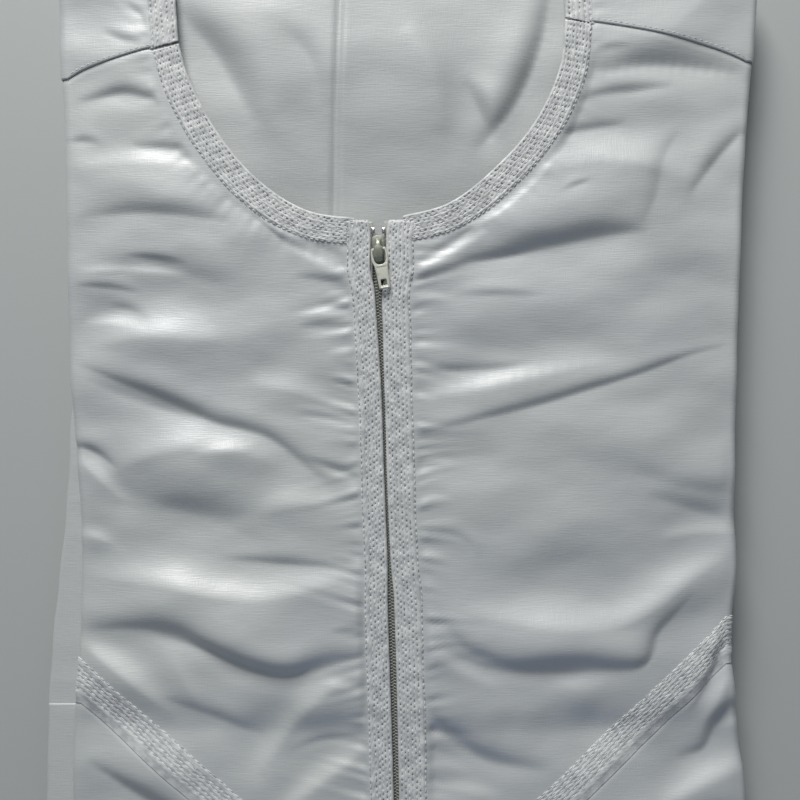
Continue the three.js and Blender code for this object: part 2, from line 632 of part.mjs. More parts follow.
// Pull: a loop round the bridge, tapering to a plate with a square hole. Its pin is on the x axis.
const PULL_TILT = THREE.MathUtils.degToRad(9.8);
const PULL = {
  tilt: PULL_TILT, thick: 1.1, length: 17.6, loop: 3.65, inner: 2.4, tail: 2.3,
  corner: 0.7, cut: 0.5, flare: 0.6, shoulder: -5, waist: -7, neck: -9,
};
const PULL_WINDOW = { top: -0.6, foot: -4.2 };
const PULL_EYE = { half: 1.2, top: -13.2, foot: -15.6 };

function pull() {
  const { loop, inner, tail, length, corner, cut, flare, shoulder, waist, neck } = PULL;
  const shape = new THREE.Shape();
  shape.moveTo(-loop + corner, corner);
  shape.lineTo(loop - corner, corner);
  shape.absarc(loop - corner, 0, corner, Math.PI / 2, 0, true);
  shape.lineTo(loop, shoulder);
  shape.quadraticCurveTo(loop, waist, tail + flare, neck);
  shape.lineTo(tail, -length + cut);
  shape.lineTo(tail - cut, -length);
  shape.lineTo(-tail + cut, -length);
  shape.lineTo(-tail, -length + cut);
  shape.lineTo(-tail - flare, neck);
  shape.quadraticCurveTo(-loop, waist, -loop, shoulder);
  shape.lineTo(-loop, 0);
  shape.absarc(-loop + corner, 0, corner, Math.PI, Math.PI / 2, true);
  const { top, foot } = PULL_WINDOW;
  const windowHole = new THREE.Path();
  windowHole.moveTo(-inner, top);
  windowHole.lineTo(-inner, foot);
  windowHole.absarc(0, foot, inner, Math.PI, 2 * Math.PI, false);
  windowHole.lineTo(inner, top);
  windowHole.lineTo(-inner, top);
  const { half } = PULL_EYE;
  const eye = new THREE.Path([[-half, PULL_EYE.foot], [half, PULL_EYE.foot],
    [half, PULL_EYE.top], [-half, PULL_EYE.top]].map(([x, y]) => new THREE.Vector2(x, y)));
  shape.holes.push(windowHole, eye);
  const how = { depth: PULL.thick, bevelEnabled: false, curveSegments: 5 };
  const geometry = new THREE.ExtrudeGeometry(shape, how);
  return geometry.translate(0, 0, -PULL.thick / 2);
}

const pullPlace = new THREE.Group();
pullPlace.position.z = PIN_HEIGHT;
pullPlace.rotation.z = PULL.tilt;
zipTop.add(pullPlace);
add('zip_pull', pull(), PULL_FINISH, pullPlace);

// Top stops, clamped over the tape edges just above the slider.
const TOP_STOP = { near: 1.5, far: 3, low: 7, high: 9.6, across: 0.3, along: 0.4, heights: [-1, 0.3] };
['left', 'right'].forEach((name) => {
  const { out } = SIDES[name];
  const { near, far, low, high, across: dx, along: dy } = TOP_STOP;
  const corners = [[near + dx, low], [far - dx, low], [far, low + dy], [far, high - dy],
    [far - dx, high], [near + dx, high], [near, high - dy], [near, low + dy]]
    .map(([x, y]) => [out * x, y]);
  add(`top_stop_${name}`, plate(corners, ...TOP_STOP.heights), STOP_FINISH, zipTop);
});

// ---- sleeve folded behind, its edge showing at the left --------------------------------------
const SLEEVE_EDGE = [[-158, -155.4], [-128, -154.4], [-88, -153.1], [-59, -151.5], [-24, -147.5],
  [13, -144.7], [38, -143.3], [52, -142], [62, -139.5]];
const CUFF_SEAM = -88;
const SLEEVE_INSET = 7.4;      // how far its leaves reach in from the body's side

// A flat tube's visible fold: two leaves joined by a half round at the left.
function foldedEdge(from, to, count, swell) {
  const { low, high, wall: thick } = SLEEVE;
  const middle = (low + high) / 2;
  const radius = (high - low) / 2 + swell;
  const turns = 5;
  const rings = Array.from({ length: count + 1 }, (_, k) => {
    const y = mix(from, to, k / count);
    const edge = lookUp(SLEEVE_EDGE, y);
    const far = SIDES.left.edge(y) + SLEEVE_INSET;
    const arc = (r, x0) => Array.from({ length: turns }, (__, i) => {
      const angle = Math.PI / 2 + (Math.PI * i) / (turns - 1);
      return new THREE.Vector3(x0 + r * Math.cos(angle), y, middle + r * Math.sin(angle));
    });
    const x0 = edge + radius;
    const outer = arc(radius, x0);
    const inner = arc(radius - thick, x0).reverse();
    const point = (z) => new THREE.Vector3(far, y, z);
    return [point(middle + radius), ...outer, point(middle - radius), point(middle - radius + thick),
      ...inner, point(middle + radius - thick)];
  });
  return tubeWall(rings);
}

// Closes a run of equal closed sections with end caps triangulated across the first and last.
function tubeWall(rings) {
  const n = rings[0].length;
  const faces = [];
  for (let k = 0; k + 1 < rings.length; k += 1) {
    for (let i = 0; i < n; i += 1) {
      const next = (i + 1) % n;
      const [a, b, c, d] = [k * n + i, k * n + next, (k + 1) * n + next, (k + 1) * n + i];
      faces.push(a, b, c, a, c, d);
    }
  }
  const flat = rings[0].map(({ x, z }) => new THREE.Vector2(x, z));
  const last = (rings.length - 1) * n;
  THREE.ShapeUtils.triangulateShape(flat, []).forEach(([a, b, c]) => {
    faces.push(a, c, b, last + a, last + b, last + c);
  });
  return meshFrom(rings.flat(), faces);
}

add('sleeve_left', foldedEdge(60, CUFF_SEAM + SEAM, 9, 0), CLOTH_FINISH);
add('cuff_left', foldedEdge(CUFF_SEAM, -158, 5, 0.1), CLOTH_FINISH);

// ---- hidden layers -----------------------------------------------------------------------------
const RIM_STEPS = { side: 8, end: 6, corner: 4 };

// The outline moved inwards, as a ring of plan places going anticlockwise from the lower right corner.
function rimPlan(by) {
  const plan = [];
  const corner = (name, sign, startAngle) => {
    const base = sign * (HALF_LENGTH - CORNER);
    const centre = inset(name, base, CORNER);
    for (let k = 0; k <= RIM_STEPS.corner; k += 1) {
      const angle = startAngle + (Math.PI / 2) * (k / RIM_STEPS.corner);
      plan.push([centre + (CORNER - by) * Math.cos(angle), base + (CORNER - by) * Math.sin(angle)]);
    }
  };
  const side = (name, up) => {
    for (let k = 1; k < RIM_STEPS.side; k += 1) {
      const y = up * mix(-HALF_LENGTH + CORNER, HALF_LENGTH - CORNER, k / RIM_STEPS.side);
      plan.push([inset(name, y, by), y]);
    }
  };
  const end = (sign) => {
    const base = sign * (HALF_LENGTH - CORNER);
    const [start, far] = sign > 0 ? ['right', 'left'] : ['left', 'right'];
    const [from, to] = [inset(start, base, CORNER), inset(far, base, CORNER)];
    for (let k = 1; k < RIM_STEPS.end; k += 1) {
      plan.push([mix(from, to, k / RIM_STEPS.end), sign * (HALF_LENGTH - by)]);
    }
  };
  corner('right', -1, -Math.PI / 2);
  side('right', 1);
  corner('right', 1, 0);
  end(1);
  corner('left', 1, Math.PI / 2);
  side('left', -1);
  corner('left', -1, Math.PI);
  end(-1);
  return plan;
}

// Each layer swells out between two grooves; the uppermost keeps clear of the sleeve on the left.
function hiddenLayers() {
  const [first, second, third] = LAYER_TOPS;
  const rim = [[5, 0], [3.3, 0.9], [2.6, 2.6], [3.3, 4.4], [5.6, first], [3.4, first + 0.8],
    [2.5, first + 2.6], [3.4, second - 0.8], [5.8, second], [4.2, second + 0.5],
    [4, third - 0.7], [6.2, third]];
  const topGap = 2 * ROLL + OVERLAP + 3 * SEAM;
  const rings = rim.map(([by, z]) => {
    const behindSleeve = z > second;
    return rimPlan(by).map(([x, y]) => {
      const clear = behindSleeve ? smooth((80 - y) / 14) * smooth((y + 178) / 10) : 0;
      const left = SIDES.left.edge(y) + SLEEVE_INSET + 1;
      return new THREE.Vector3(clear > 0.01 && x < left ? mix(x, left, clear) : x, y, z);
    });
  });
  [9, 30, 70].forEach((by, k) => {
    const plan = k === 0 ? rimPlan(by) : rimPlan(9).map(([x, y]) => [x * (1 - by / 150), y * (1 - by / 240)]);
    rings.push(plan.map(([x, y]) => new THREE.Vector3(x, y, plainTop(x, y) - topGap)));
  });
  const body = stackedRings(rings, new THREE.Vector3(0, 0, 0), new THREE.Vector3(0, 0, TOP - topGap));
  const pad = [];
  const [padLow, padHigh, padInset] = [-230, 72, 10];
  for (let j = 0; j <= 8; j += 1) {
    const y = mix(padLow, padHigh, j / 8);
    pad.push([0, 0.12, 0.3, 0.5, 0.7, 0.88, 1].map((u) => [
      mix(inset('left', y, padInset), inset('right', y, padInset), u), y]));
  }
  const padSurface = (x, y, lift) => new THREE.Vector3(x, y, lift < 0 ? plainTop(x, y) + lift : lift);
  return joined(body, wall(pad, third - 1, -PAD_GAP, padSurface));
}

const PAD_GAP = 4;      // between the top of the cloth and the hidden layers below the neck
add('folded_layers', hiddenLayers(), CLOTH_FINISH);

export default thobe;
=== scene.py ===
"""A white thobe, folded flat with its front upwards.

Satin cloth, topstitched bands, a zip with its slider and pull, and the folded edge of one sleeve."""

import bpy
import numpy as np
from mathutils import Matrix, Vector


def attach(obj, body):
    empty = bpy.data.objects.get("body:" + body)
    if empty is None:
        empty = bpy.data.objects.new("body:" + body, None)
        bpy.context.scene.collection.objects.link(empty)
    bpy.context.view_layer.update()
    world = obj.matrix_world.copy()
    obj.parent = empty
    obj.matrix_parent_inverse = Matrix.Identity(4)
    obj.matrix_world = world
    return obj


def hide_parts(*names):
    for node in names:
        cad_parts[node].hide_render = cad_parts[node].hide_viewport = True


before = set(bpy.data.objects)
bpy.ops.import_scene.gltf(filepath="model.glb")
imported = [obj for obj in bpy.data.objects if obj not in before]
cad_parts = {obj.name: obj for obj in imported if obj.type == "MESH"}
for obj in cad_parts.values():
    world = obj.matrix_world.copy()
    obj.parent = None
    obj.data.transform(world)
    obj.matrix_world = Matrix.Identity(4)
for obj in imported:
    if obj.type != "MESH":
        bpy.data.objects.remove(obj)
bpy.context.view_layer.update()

# ---- sizes of the folded garment, in millimetres --------------------------------------------------
MM = 0.001
HALF_LENGTH = 240        # half the folded length
TOP = 21.6               # top of the cloth in the middle of the chest
EDGE_DROP = 1.8          # how much lower it lies at the folded sides
EDGE_SLOPE = 42
ROLL = 3.2               # outer radius of a folded edge
CORNER = 16              # plan radius of the folded corners
CLOTH = 0.5              # thickness of the cloth
TUCKED = np.pi * ROLL + 3   # cloth past the level part, round the fold and under
UNDER_BAND = 2.5         # a panel's edge lies this far under its band
TUCK_STEP = 0.95         # between rows of points on the tucked cloth
FAR = 99                 # farther than a band reaches

NECK_BAND = 12.5
PLACKET = {"left": 10.8, "right": 12.8}
PLACKET_TOP = 122
CHEST_BAND = 15.5

OUT = {"left": -1.0, "right": 1.0}
SIDE = {   # each folded side as [y, x]
    "left": [[-240, -142], [-128, -142], [-89, -141], [-65, -138.8], [-12, -138.2], [23, -140.4],
             [52, -142.8], [87, -144.1], [160, -145.3], [196, -147.4], [240, -148.5]],
    "right": [[-240, 151], [-128, 149.6], [-101, 147], [-58, 143.4], [-29, 145.8], [1, 145],
              [74, 146.6], [150, 149.6], [190, 152.7], [216, 154.8], [240, 155.4]],
}
ZIP_MIDDLE = [[-206, -0.5], [-128, -1.5], [-42, -3.9], [-25, -4.7], [14, -6.3], [41, -7.05],
              [73.5, -8.5], [91, -9.3], [122.5, -9.2]]
ZIP_SLIT = [[-206, 0.9], [-128, 1.1], [-42, 1.3], [-25, 0.6], [41, 0.6], [55, 0.7],
            [73.5, 1.1], [91, 1.6], [100, 3.3], [116, 3.3], [122.5, 4.7]]
NECK = {   # the neck edge as [x, y], from the placket's corner up to the shoulder seam
    "left": [[-13.9, 121.8], [-39.7, 125.4], [-61.7, 139.3], [-79.4, 160.5], [-91, 183], [-95.3, 197.8]],
    "right": [[-4.5, 122], [21.9, 129.2], [46, 149], [60.2, 167.3], [68.9, 188], [71.2, 208.2]],
}
NECK_AT_FOLD = {"left": -98.5, "right": 70.5}
NECK_CENTRE, NECK_RADIUS = (-13, 205), 83
SHOULDER = {"left": (183.5, 1.2), "right": (191, 2)}      # seam height at the side, and its upward bow
CHEST_SEAM = {"left": -87, "right": -70, "point": -205}

# Creases: how far the cloth steps down away from the window side, the half width, and the route.
# A negative step climbs instead.
CREASES = [
    (0.7, 2.2, [(-118, 215), (-113, 211), (-108, 207)]),
    (1.0, 3.0, [(-128, 203), (-119, 199), (-110, 197)]),
    (1.2, 4.6, [(-139, 172), (-130, 174), (-119, 176), (-108, 173.5), (-99, 170)]),
    (0.35, 3.0, [(-143, 155), (-136, 155.5), (-130, 154.5)]),
    (0.7, 4.5, [(-116, 153), (-100, 152), (-88, 152)]),
    (0.9, 9.0, [(-138, 122), (-115, 124), (-95, 123), (-72, 120)]),
    (-0.35, 7.0, [(-142, 144), (-110, 145), (-83, 143)]),
    (0.7, 2.5, [(-118, 106), (-105, 104.5), (-92, 102.5)]),
    (-0.35, 3.0, [(-140, 99), (-110, 99), (-90, 97)]),
    (0.45, 3.0, [(-140, 93), (-125, 92), (-113, 90)]),
    (0.3, 3.5, [(-125, 84), (-118, 83), (-112, 81)]),
    (-0.5, 4.5, [(-136, 76), (-122, 76), (-110, 74)]),
    (2.2, 4.2, [(-72, 130), (-62, 122), (-55, 116), (-50, 112), (-43, 108.5), (-32, 104)]),
    (-1.3, 3.6, [(-52, 112), (-40, 105), (-30, 100), (-18, 95)]),
    (1.3, 2.6, [(-43, 113), (-33, 109.5), (-18, 104)]),
    (0.9, 2.4, [(-46, 97), (-28, 95), (-19, 92.5)]),
    (-0.5, 2.5, [(-32, 90), (-25, 88), (-19, 87)]),
    (0.8, 2.0, [(-35, 85), (-26, 84), (-19, 83)]),
    (-0.6, 2.2, [(-43, 80), (-30, 80.5), (-19, 80)]),
    (0.6, 3.5, [(-44, 75), (-30, 75.5), (-19, 76.5)]),
    (-0.5, 2.2, [(-31, 63), (-25, 63.5), (-19, 63)]),
    (1.6, 6.0, [(-141, 59.5), (-120, 51), (-100, 43), (-80, 34), (-68, 31), (-58, 28), (-50, 23),
                (-44, 18), (-38, 13), (-29, 5)]),
    (0.7, 11.0, [(-136, 52), (-110, 42), (-84, 34)]),
    (0.9, 2.6, [(-42, 19), (-30, 15), (-16, 11)]),
    (-0.4, 2.0, [(-34, 13), (-28, 11), (-20, 9)]),
    (0.5, 2.5, [(-46, 38), (-30, 36), (-18, 33)]),
    (0.4, 2.0, [(-30, 52), (-25, 51.5), (-18, 50.5)]),
    (-0.6, 7.0, [(-64, 50), (-45, 47), (-30, 44)]),
    (1.5, 4.0, [(-148, 25), (-134, 22), (-122, 14)]),
    (-1.3, 5.0, [(-142, 22), (-134, 13), (-120, 0)]),
    (-0.5, 4.0, [(-88, 20), (-75, 21.5), (-63, 22)]),
    (0.5, 14.0, [(-130, -2), (-100, -4), (-66, -8)]),
    (-0.4, 4.0, [(-140, -14), (-132, -16), (-124, -19)]),
    (0.5, 4.0, [(-78, -25), (-50, -27), (-20, -29)]),
    (0.4, 2.0, [(-30, -24.5), (-24, -26), (-17, -27)]),
    (-2.3, 12.0, [(-144, -30), (-122, -34), (-98, -37), (-78, -41), (-56, -42), (-34, -37), (-12, -30)]),
    (2.6, 10.0, [(-136, -56), (-112, -55), (-97, -57), (-86, -62), (-76, -67), (-66, -71), (-55, -74),
                (-45, -74), (-38, -71), (-28, -68), (-13, -67)]),
    (0.9, 5.0, [(-108, -56), (-86, -63), (-66, -72), (-50, -75), (-36, -72), (-18, -67)]),
    (0.5, 2.0, [(-30, -56), (-24, -55.5), (-16, -55)]),
    (-0.5, 2.5, [(-32, -78), (-24, -80), (-16, -80)]),
    (-1.6, 7.0, [(-142, -58), (-128, -69), (-116, -78), (-98, -92)]),
    (-0.4, 6.0, [(-99, -67), (-92, -79), (-84, -91)]),
    (0.5, 7.0, [(-102, -85), (-80, -93), (-58, -102)]),
    (-1.4, 7.0, [(-24, -76), (-43, -94), (-60, -118)]),
    (0.7, 2.6, [(-48, -108), (-35, -103), (-25, -102), (-13, -102)]),
    (-1.7, 6.0, [(-12, -106), (-26, -116), (-42, -128), (-54, -138)]),
    (0.5, 2.0, [(82, 193.5), (90, 195), (100, 196)]),
    (1.1, 5.0, [(77, 173), (90, 176), (100, 177), (118, 179)]),
    (0.7, 4.5, [(64, 157), (78, 160), (98, 163)]),
    (0.4, 2.0, [(70, 134), (76, 136), (82, 138)]),
    (0.7, 6.0, [(154, 165), (140, 151), (125, 132)]),
    (0.4, 7.0, [(121, 160), (114, 148), (110, 131), (104, 118)]),
    (0.9, 2.8, [(4, 96), (20, 100), (30, 103), (40, 105), (52, 107.5), (64, 110)]),
    (1.7, 10.0, [(24, 103), (46, 106), (60, 109), (75, 112), (90, 115), (108, 116)]),
    (-1.3, 3.4, [(4, 97), (20, 105), (38, 116)]),
    (1.3, 2.8, [(6, 103), (20, 110), (34, 120)]),
    (0.3, 2.0, [(38, 122), (43, 126), (48, 130)]),
    (-0.4, 2.2, [(2, 87), (12, 87.5), (22, 87)]),
    (0.3, 3.0, [(23, 88.5), (40, 89), (62, 88.5)]),
    (0.5, 4.0, [(2, 56), (40, 57), (58, 60)]),
    (-0.7, 7.0, [(5, 43), (40, 49), (90, 60)]),
    (0.75, 4.0, [(4, 28.5), (20, 32), (40, 37), (60, 42), (80, 48), (100, 54), (125, 63), (145, 68)]),
    (-0.35, 2.0, [(6, 16.5), (14, 17), (24, 16.5)]),
    (-0.35, 2.0, [(6, 0.5), (14, 1), (22, 0.5)]),
    (-0.35, 2.0, [(6, -24), (12, -23.5), (19, -24)]),
    (0.6, 9.0, [(106, 2), (124, -3), (142, -8)]),
    (-0.5, 5.0, [(113, -16), (130, -14), (147, -14)]),
    (0.5, 2.5, [(5, -14), (22, -14), (30, -18), (31, -24)]),
    (-2.1, 12.0, [(148, -20), (128, -32), (112, -44), (98, -52), (80, -55), (60, -54), (38, -50), (22, -44)]),
    (0.4, 2.0, [(10, -52.5), (15, -52.5), (21, -52)]),
    (2.4, 8.0, [(14, -44), (22, -57), (29, -64), (36, -67), (42, -69.5), (50, -71), (70, -70.5), (80, -70),
                (100, -71), (106, -69), (109, -64), (111, -57), (116, -51), (127, -39)]),
    (-0.8, 4.0, [(8, -58), (24, -72), (44, -81)]),
    (1.3, 3.4, [(20, -64), (36, -70.5), (60, -73), (84, -72), (104, -71), (110, -66)]),
    (1.6, 9.0, [(10, -88), (22, -102), (38, -112), (64, -116)]),
    (0.4, 1.8, [(10, -97.5), (15, -96), (21, -95)]),
    (0.4, 1.8, [(9, -107), (13, -106), (18, -105.5)]),
    (-0.5, 3.0, [(8, -112), (18, -114), (30, -118)]),
    (-0.5, 3.0, [(18, -122), (30, -125), (44, -128)]),
    (-0.4, 6.0, [(65, -79), (77, -81), (88, -80)]),
    (3.6, 6.5, [(150, -46), (139, -64), (135, -74), (127, -90)]),
    (-2.0, 4.0, [(148, -64), (140, -80), (131, -96)]),
    (3.6, 6.0, [(154, -76), (142, -90), (136, -99), (132, -107), (120, -111)]),
    (-0.5, 3.0, [(150, -93), (144, -96), (136, -99)]),
    (-2.4, 9.0, [(112, -132), (132, -122), (156, -112)]),
    (0.9, 14.0, [(-132, 96), (-104, 100), (-76, 92)]),
    (-1.4, 11.0, [(-134, 66), (-110, 70), (-78, 68)]),
    (-1.3, 11.0, [(-128, 10), (-104, 20), (-72, 22), (-52, 14)]),
    (0.6, 16.0, [(-132, 6), (-100, -2), (-58, -18)]),
    (-1.3, 10.0, [(-60, -6), (-44, -2), (-26, -4)]),
    (1.4, 11.0, [(80, 184), (112, 188), (148, 184)]),
    (-1.6, 14.0, [(52, 140), (92, 146), (128, 138)]),
    (0.8, 14.0, [(100, 12), (122, 6), (146, 2)]),
    (1.6, 9.0, [(-136, -112), (-104, -132), (-72, -148)]),
    (-1.5, 9.0, [(-140, -148), (-100, -166), (-56, -180)]),
    (1.5, 8.0, [(-128, -190), (-76, -206), (-24, -214)]),
    (0.9, 4.0, [(-46, -222), (-8, -227), (34, -221)]),
    (1.2, 7.0, [(24, -220), (72, -210), (124, -213)]),
    (-1.5, 10.0, [(48, -188), (92, -174), (140, -180)]),
    (1.5, 8.0, [(58, -160), (94, -148), (140, -144)]),
    (1.3, 24.0, [(-170, -96), (-60, -99), (60, -99), (172, -94)]),
]
CREASING = 3.5                       # how deep they all are
STEEPEST = {"base": 0.25, "by_width": 0.042}   # limit of a crease's height over its half width
FOOT = {"down": 0.3, "up": 0.9}      # how rounded its foot is, in half widths
WINDOW = np.array([-0.2, 0.98])     # the side the light comes from, in plan
RIPPLES = [   # slow waves of the pressed cloth: height, length, direction and phase
    (0.34, 47, 1.3, 1.0), (0.24, 33, 1.9, 2.1), (0.1, 24, 1.6, 0.3),
    (0.035, 15, 1.2, 4.0), (0.02, 10.5, 1.75, 2.7),
]
# The inside of the back: a fold pressed down it, as [y, x], and its own creases.
BACK_PRESS = [[120, -27.4], [170, -26.4], [216, -24.9], [236, -24.5]]
BACK_CREASES = [
    (1.9, 16, [(-98, 214), (-80, 194), (-62, 162)]),
    (0.6, 10, [(-52, 206), (-40, 192), (-36, 172)]),
    (1.2, 7, [(28, 182), (33, 172), (40, 156)]),
    (-0.5, 13, [(-62, 172), (-50, 156), (-34, 146)]),
    (-0.9, 10, [(2, 206), (14, 186), (18, 160)]),
    (1.7, 9, [(66, 226), (61, 198), (50, 172), (33, 151)]),
]


# ---- small helpers --------------------------------------------------------------------------------
def smooth(t):
    """Eases from 0 to 1: 3t² − 2t³ between them."""
    t = np.clip(t, 0, 1)
    return t * t * (3 - 2 * t)


def mix(a, b, t):
    """The share t of the way from a to b."""
    return a + (b - a) * t


def bump(t):
    """A bell: e to the −t²."""
    return np.exp(-t * t)


def look_up(table, at):
    """Value at a place in a table of [place, value]: a cubic between rows, sloped as their neighbours."""
    place, value = np.array(table, float).T
    slope = np.gradient(value, place, edge_order=1)
    slope[1:-1] = (value[2:] - value[:-2]) / (place[2:] - place[:-2])
    at = np.clip(at, place[0], place[-1])
    k = np.clip(np.searchsorted(place, at, side="right") - 1, 0, len(place) - 2)
    span = place[k + 1] - place[k]
    t = (at - place[k]) / span
    return (value[k] * (1 + 2 * t) * (1 - t) ** 2 + value[k + 1] * t * t * (3 - 2 * t)
            + slope[k] * span * t * (1 - t) ** 2 + slope[k + 1] * span * t * t * (t - 1))


def soft_path(points, count):
    """count places, evenly spaced by length, on the smooth line through the points."""
    points = np.array(points, float)
    rough = np.r_[0, np.cumsum(np.hypot(*np.diff(points, axis=0).T))]
    fine = np.linspace(0, rough[-1], 20 * len(points))
    line = np.stack([look_up(np.c_[rough, points[:, axis]], fine) for axis in (0, 1)], 1)
    length = np.r_[0, np.cumsum(np.hypot(*np.diff(line, axis=0).T))]
    even = np.linspace(0, length[-1], count)
    return np.stack([np.interp(even, length, line[:, axis]) for axis in (0, 1)], 1)


# ---- the form of the folded cloth -----------------------------------------------------------------
def side_x(name, y, inside=0.0):
    """x of a folded side at y, moved inside by that much."""
    return look_up(SIDE[name], y) - OUT[name] * inside


def zip_x(name, y):
    """x of a placket's edge at the zip: the zip's middle and half the slit beyond it."""
    return look_up(ZIP_MIDDLE, y) + OUT[name] * look_up(ZIP_SLIT, y)


def outline(x, y):
    """Depth inside the outline with its round corners, and the direction outwards there."""
    left, right = x - side_x("left", y), side_x("right", y) - x
    across, lengthways = np.minimum(left, right), HALF_LENGTH - np.abs(y)
    out_x, out_y = np.where(left < right, -1.0, 1.0), np.sign(y)
    over_x, over_y = CORNER - across, CORNER - lengthways
    reach = np.maximum(np.hypot(over_x, over_y), 1e-6)
    corner = (over_x > 0) & (over_y > 0)
    sideways = across < lengthways
    depth = np.where(corner, CORNER - reach, np.minimum(across, lengthways))
    nx = np.where(corner, out_x * over_x / reach, np.where(sideways, out_x, 0))
    ny = np.where(corner, out_y * over_y / reach, np.where(sideways, 0, out_y))
    return depth, nx, ny


def crease(step, width, route, x, y):
    """Height of one crease, with q the distance from its line over its half width: (2.2q − 0.5) e^(−1.1q)
    on the window's side and −0.5 e^(−1.3q) on the other, a soft fall to a crisp foot. It narrows and fades
    to both ends. Where its line bends, the near parts of the line weigh more."""
    path = soft_path(route, 5 * len(route))
    reach = 6 * width
    near = ((x > path[:, 0].min() - reach) & (x < path[:, 0].max() + reach)
            & (y > path[:, 1].min() - reach) & (y < path[:, 1].max() + reach))
    px, py = x[near], y[near]
    height, weights = np.zeros(px.shape), np.full(px.shape, 1e-12)
    share = np.linspace(0, 1, len(path))
    run_x, run_y = path[-1] - path[0]
    lit = np.sign(run_x * WINDOW[1] - run_y * WINDOW[0])
    limit = STEEPEST["base"] + STEEPEST["by_width"] * width
    foot = FOOT["down"] if step > 0 else FOOT["up"]
    tall = width * limit * np.tanh(CREASING * step / width / limit)
    for k in range(len(path) - 1):
        ax, ay = path[k]
        dx, dy = path[k + 1] - path[k]
        length = np.hypot(dx, dy)
        t = np.clip(((px - ax) * dx + (py - ay) * dy) / length ** 2, 0, 1)
        gx, gy = px - ax - t * dx, py - ay - t * dy
        away = np.hypot(gx, gy)
        across = (-dy * gx + dx * gy) / length * lit
        fade = np.sin(np.pi * mix(share[k], share[k + 1], t))
        spread = width * (0.55 + 0.45 * fade)
        q = np.sqrt((away / spread) ** 2 + foot ** 2) - foot
        above = 1 / (1 + np.exp(-6 * across / spread))
        weight = np.exp(-3 * away / width)
        form = mix(-0.5 * np.exp(-1.3 * q), (2.2 * q - 0.5) * np.exp(-1.1 * q), above)
        height += weight * tall * fade * form * bump(q / 3)
        weights += weight
    total = np.zeros_like(x)
    total[near] = height / weights
    return total


def from_bands(x, y):
    """Distance outside the plackets, which end at the V's point, and the neck band; negative on them."""
    middle = look_up(ZIP_MIDDLE, y)
    width = np.where(x < middle, PLACKET["left"], PLACKET["right"])
    past_point = 60 * smooth((CHEST_SEAM["point"] + 12 - y) / 16)
    from_placket = np.abs(x - middle) - look_up(ZIP_SLIT, y) - width + past_point
    from_neck = np.hypot(x - NECK_CENTRE[0], y - NECK_CENTRE[1]) - NECK_RADIUS - NECK_BAND
    return from_placket, from_neck


def ripple(x, y):
    """Slow unevenness of pressed cloth: sine waves of several lengths laid across each other, each bent by a
    longer one that runs across it."""
    total = 0
    for height, length, turn, phase in RIPPLES:
        along = x * np.cos(turn) + y * np.sin(turn)
        beside = y * np.cos(turn) - x * np.sin(turn)
        bend = 0.9 * np.sin(2 * np.pi * beside / (2.3 * length) + 2 * phase)
        total = total + height * np.sin(2 * np.pi * along / length + phase + bend)
    return total


def gathers(place, seed):
    """Uneven little gathers along a stitched edge: waves 4 to 11 mm long added up."""
    return (0.8 * np.sin(place * 2 * np.pi / 4.3 + seed) + np.sin(place * 2 * np.pi / 6.7 + 2.3 * seed)
            + 1.1 * np.sin(place * 2 * np.pi / 11.3 + 3.7 * seed)) / 3.2


def plain_top(depth):
    """Height of the top before folds: level in the middle, and lower by EDGE_DROP at the sides."""
    return TOP - EDGE_DROP * (1 - smooth((depth - ROLL) / EDGE_SLOPE))


def cloth_top(x, y):
    """Height of the top layer: its plain form, the creases, and gathers by the bands, which hold it down."""
    shape = np.shape(x)
    x, y = np.broadcast_arrays(np.asarray(x, float), np.asarray(y, float))
    x, y = x.ravel(), y.ravel()
    depth, _, _ = outline(x, y)
    folds = 1.25 * ripple(x, y)
    for step, width, route in CREASES:
        folds += crease(step, width, route, x, y)
    from_placket, from_neck = from_bands(x, y)
    free = np.minimum(np.where(y < PLACKET_TOP, from_placket, FAR), from_neck)
    beside = np.maximum(from_placket, 0)
    seed = np.where(x < -8, 1.3, 4.1)   # the zip's two sides differ
    slanted = y + 0.3 * beside * np.sin(y / 13 + seed)
    fading = np.exp(-beside / (6.5 + 3.5 * np.sin(y / 6.3 + seed)))
    at_placket = 1.2 * gathers(slanted, seed) * fading * smooth((PLACKET_TOP - y) / 10)
    around = np.arctan2(y - NECK_CENTRE[1], x - NECK_CENTRE[0]) * NECK_RADIUS
    at_neck = 0.4 * gathers(around, 2.2) * np.exp(-np.maximum(from_neck, 0) / 5)
    folds += (at_placket + at_neck) * smooth((free + 3) / 4)
    held = 0.14 + 0.86 * smooth((free + 1.2) / 4.5)
    sides = 0.55 + 0.45 * smooth(depth / 8)
    return (plain_top(depth) + folds * held * sides).reshape(shape)


def drape(x, y, lift):
    """Lays a flat place over the form: level inside, then round the folded edge of radius ROLL and under."""
    depth, nx, ny = outline(x, y)
    run = np.maximum(ROLL - depth, 0)
    bx, by = x - nx * run, y - ny * run
    turn = np.minimum(run / ROLL, np.pi)
    out = (ROLL + lift) * np.sin(turn) - (run - turn * ROLL)
    z = cloth_top(bx, by) - ROLL + (ROLL + lift) * np.cos(turn)
    return np.stack([bx + nx * out, by + ny * out, z], -1)


# ---- meshes ---------------------------------------------------------------------------------------
def grid_faces(rows, columns, round_rows=False, round_columns=False, flip=False):
    """Four-sided faces of a grid of points, closed on itself where asked."""
    i, j = np.meshgrid(np.arange(rows - (not round_rows)), np.arange(columns - (not round_columns)),
                       indexing="ij")
    up, on = (i + 1) % rows, (j + 1) % columns
    faces = np.stack([i * columns + j, i * columns + on, up * columns + on, up * columns + j], -1)
    faces = faces.reshape(-1, 4)
    return faces[:, ::-1] if flip else faces


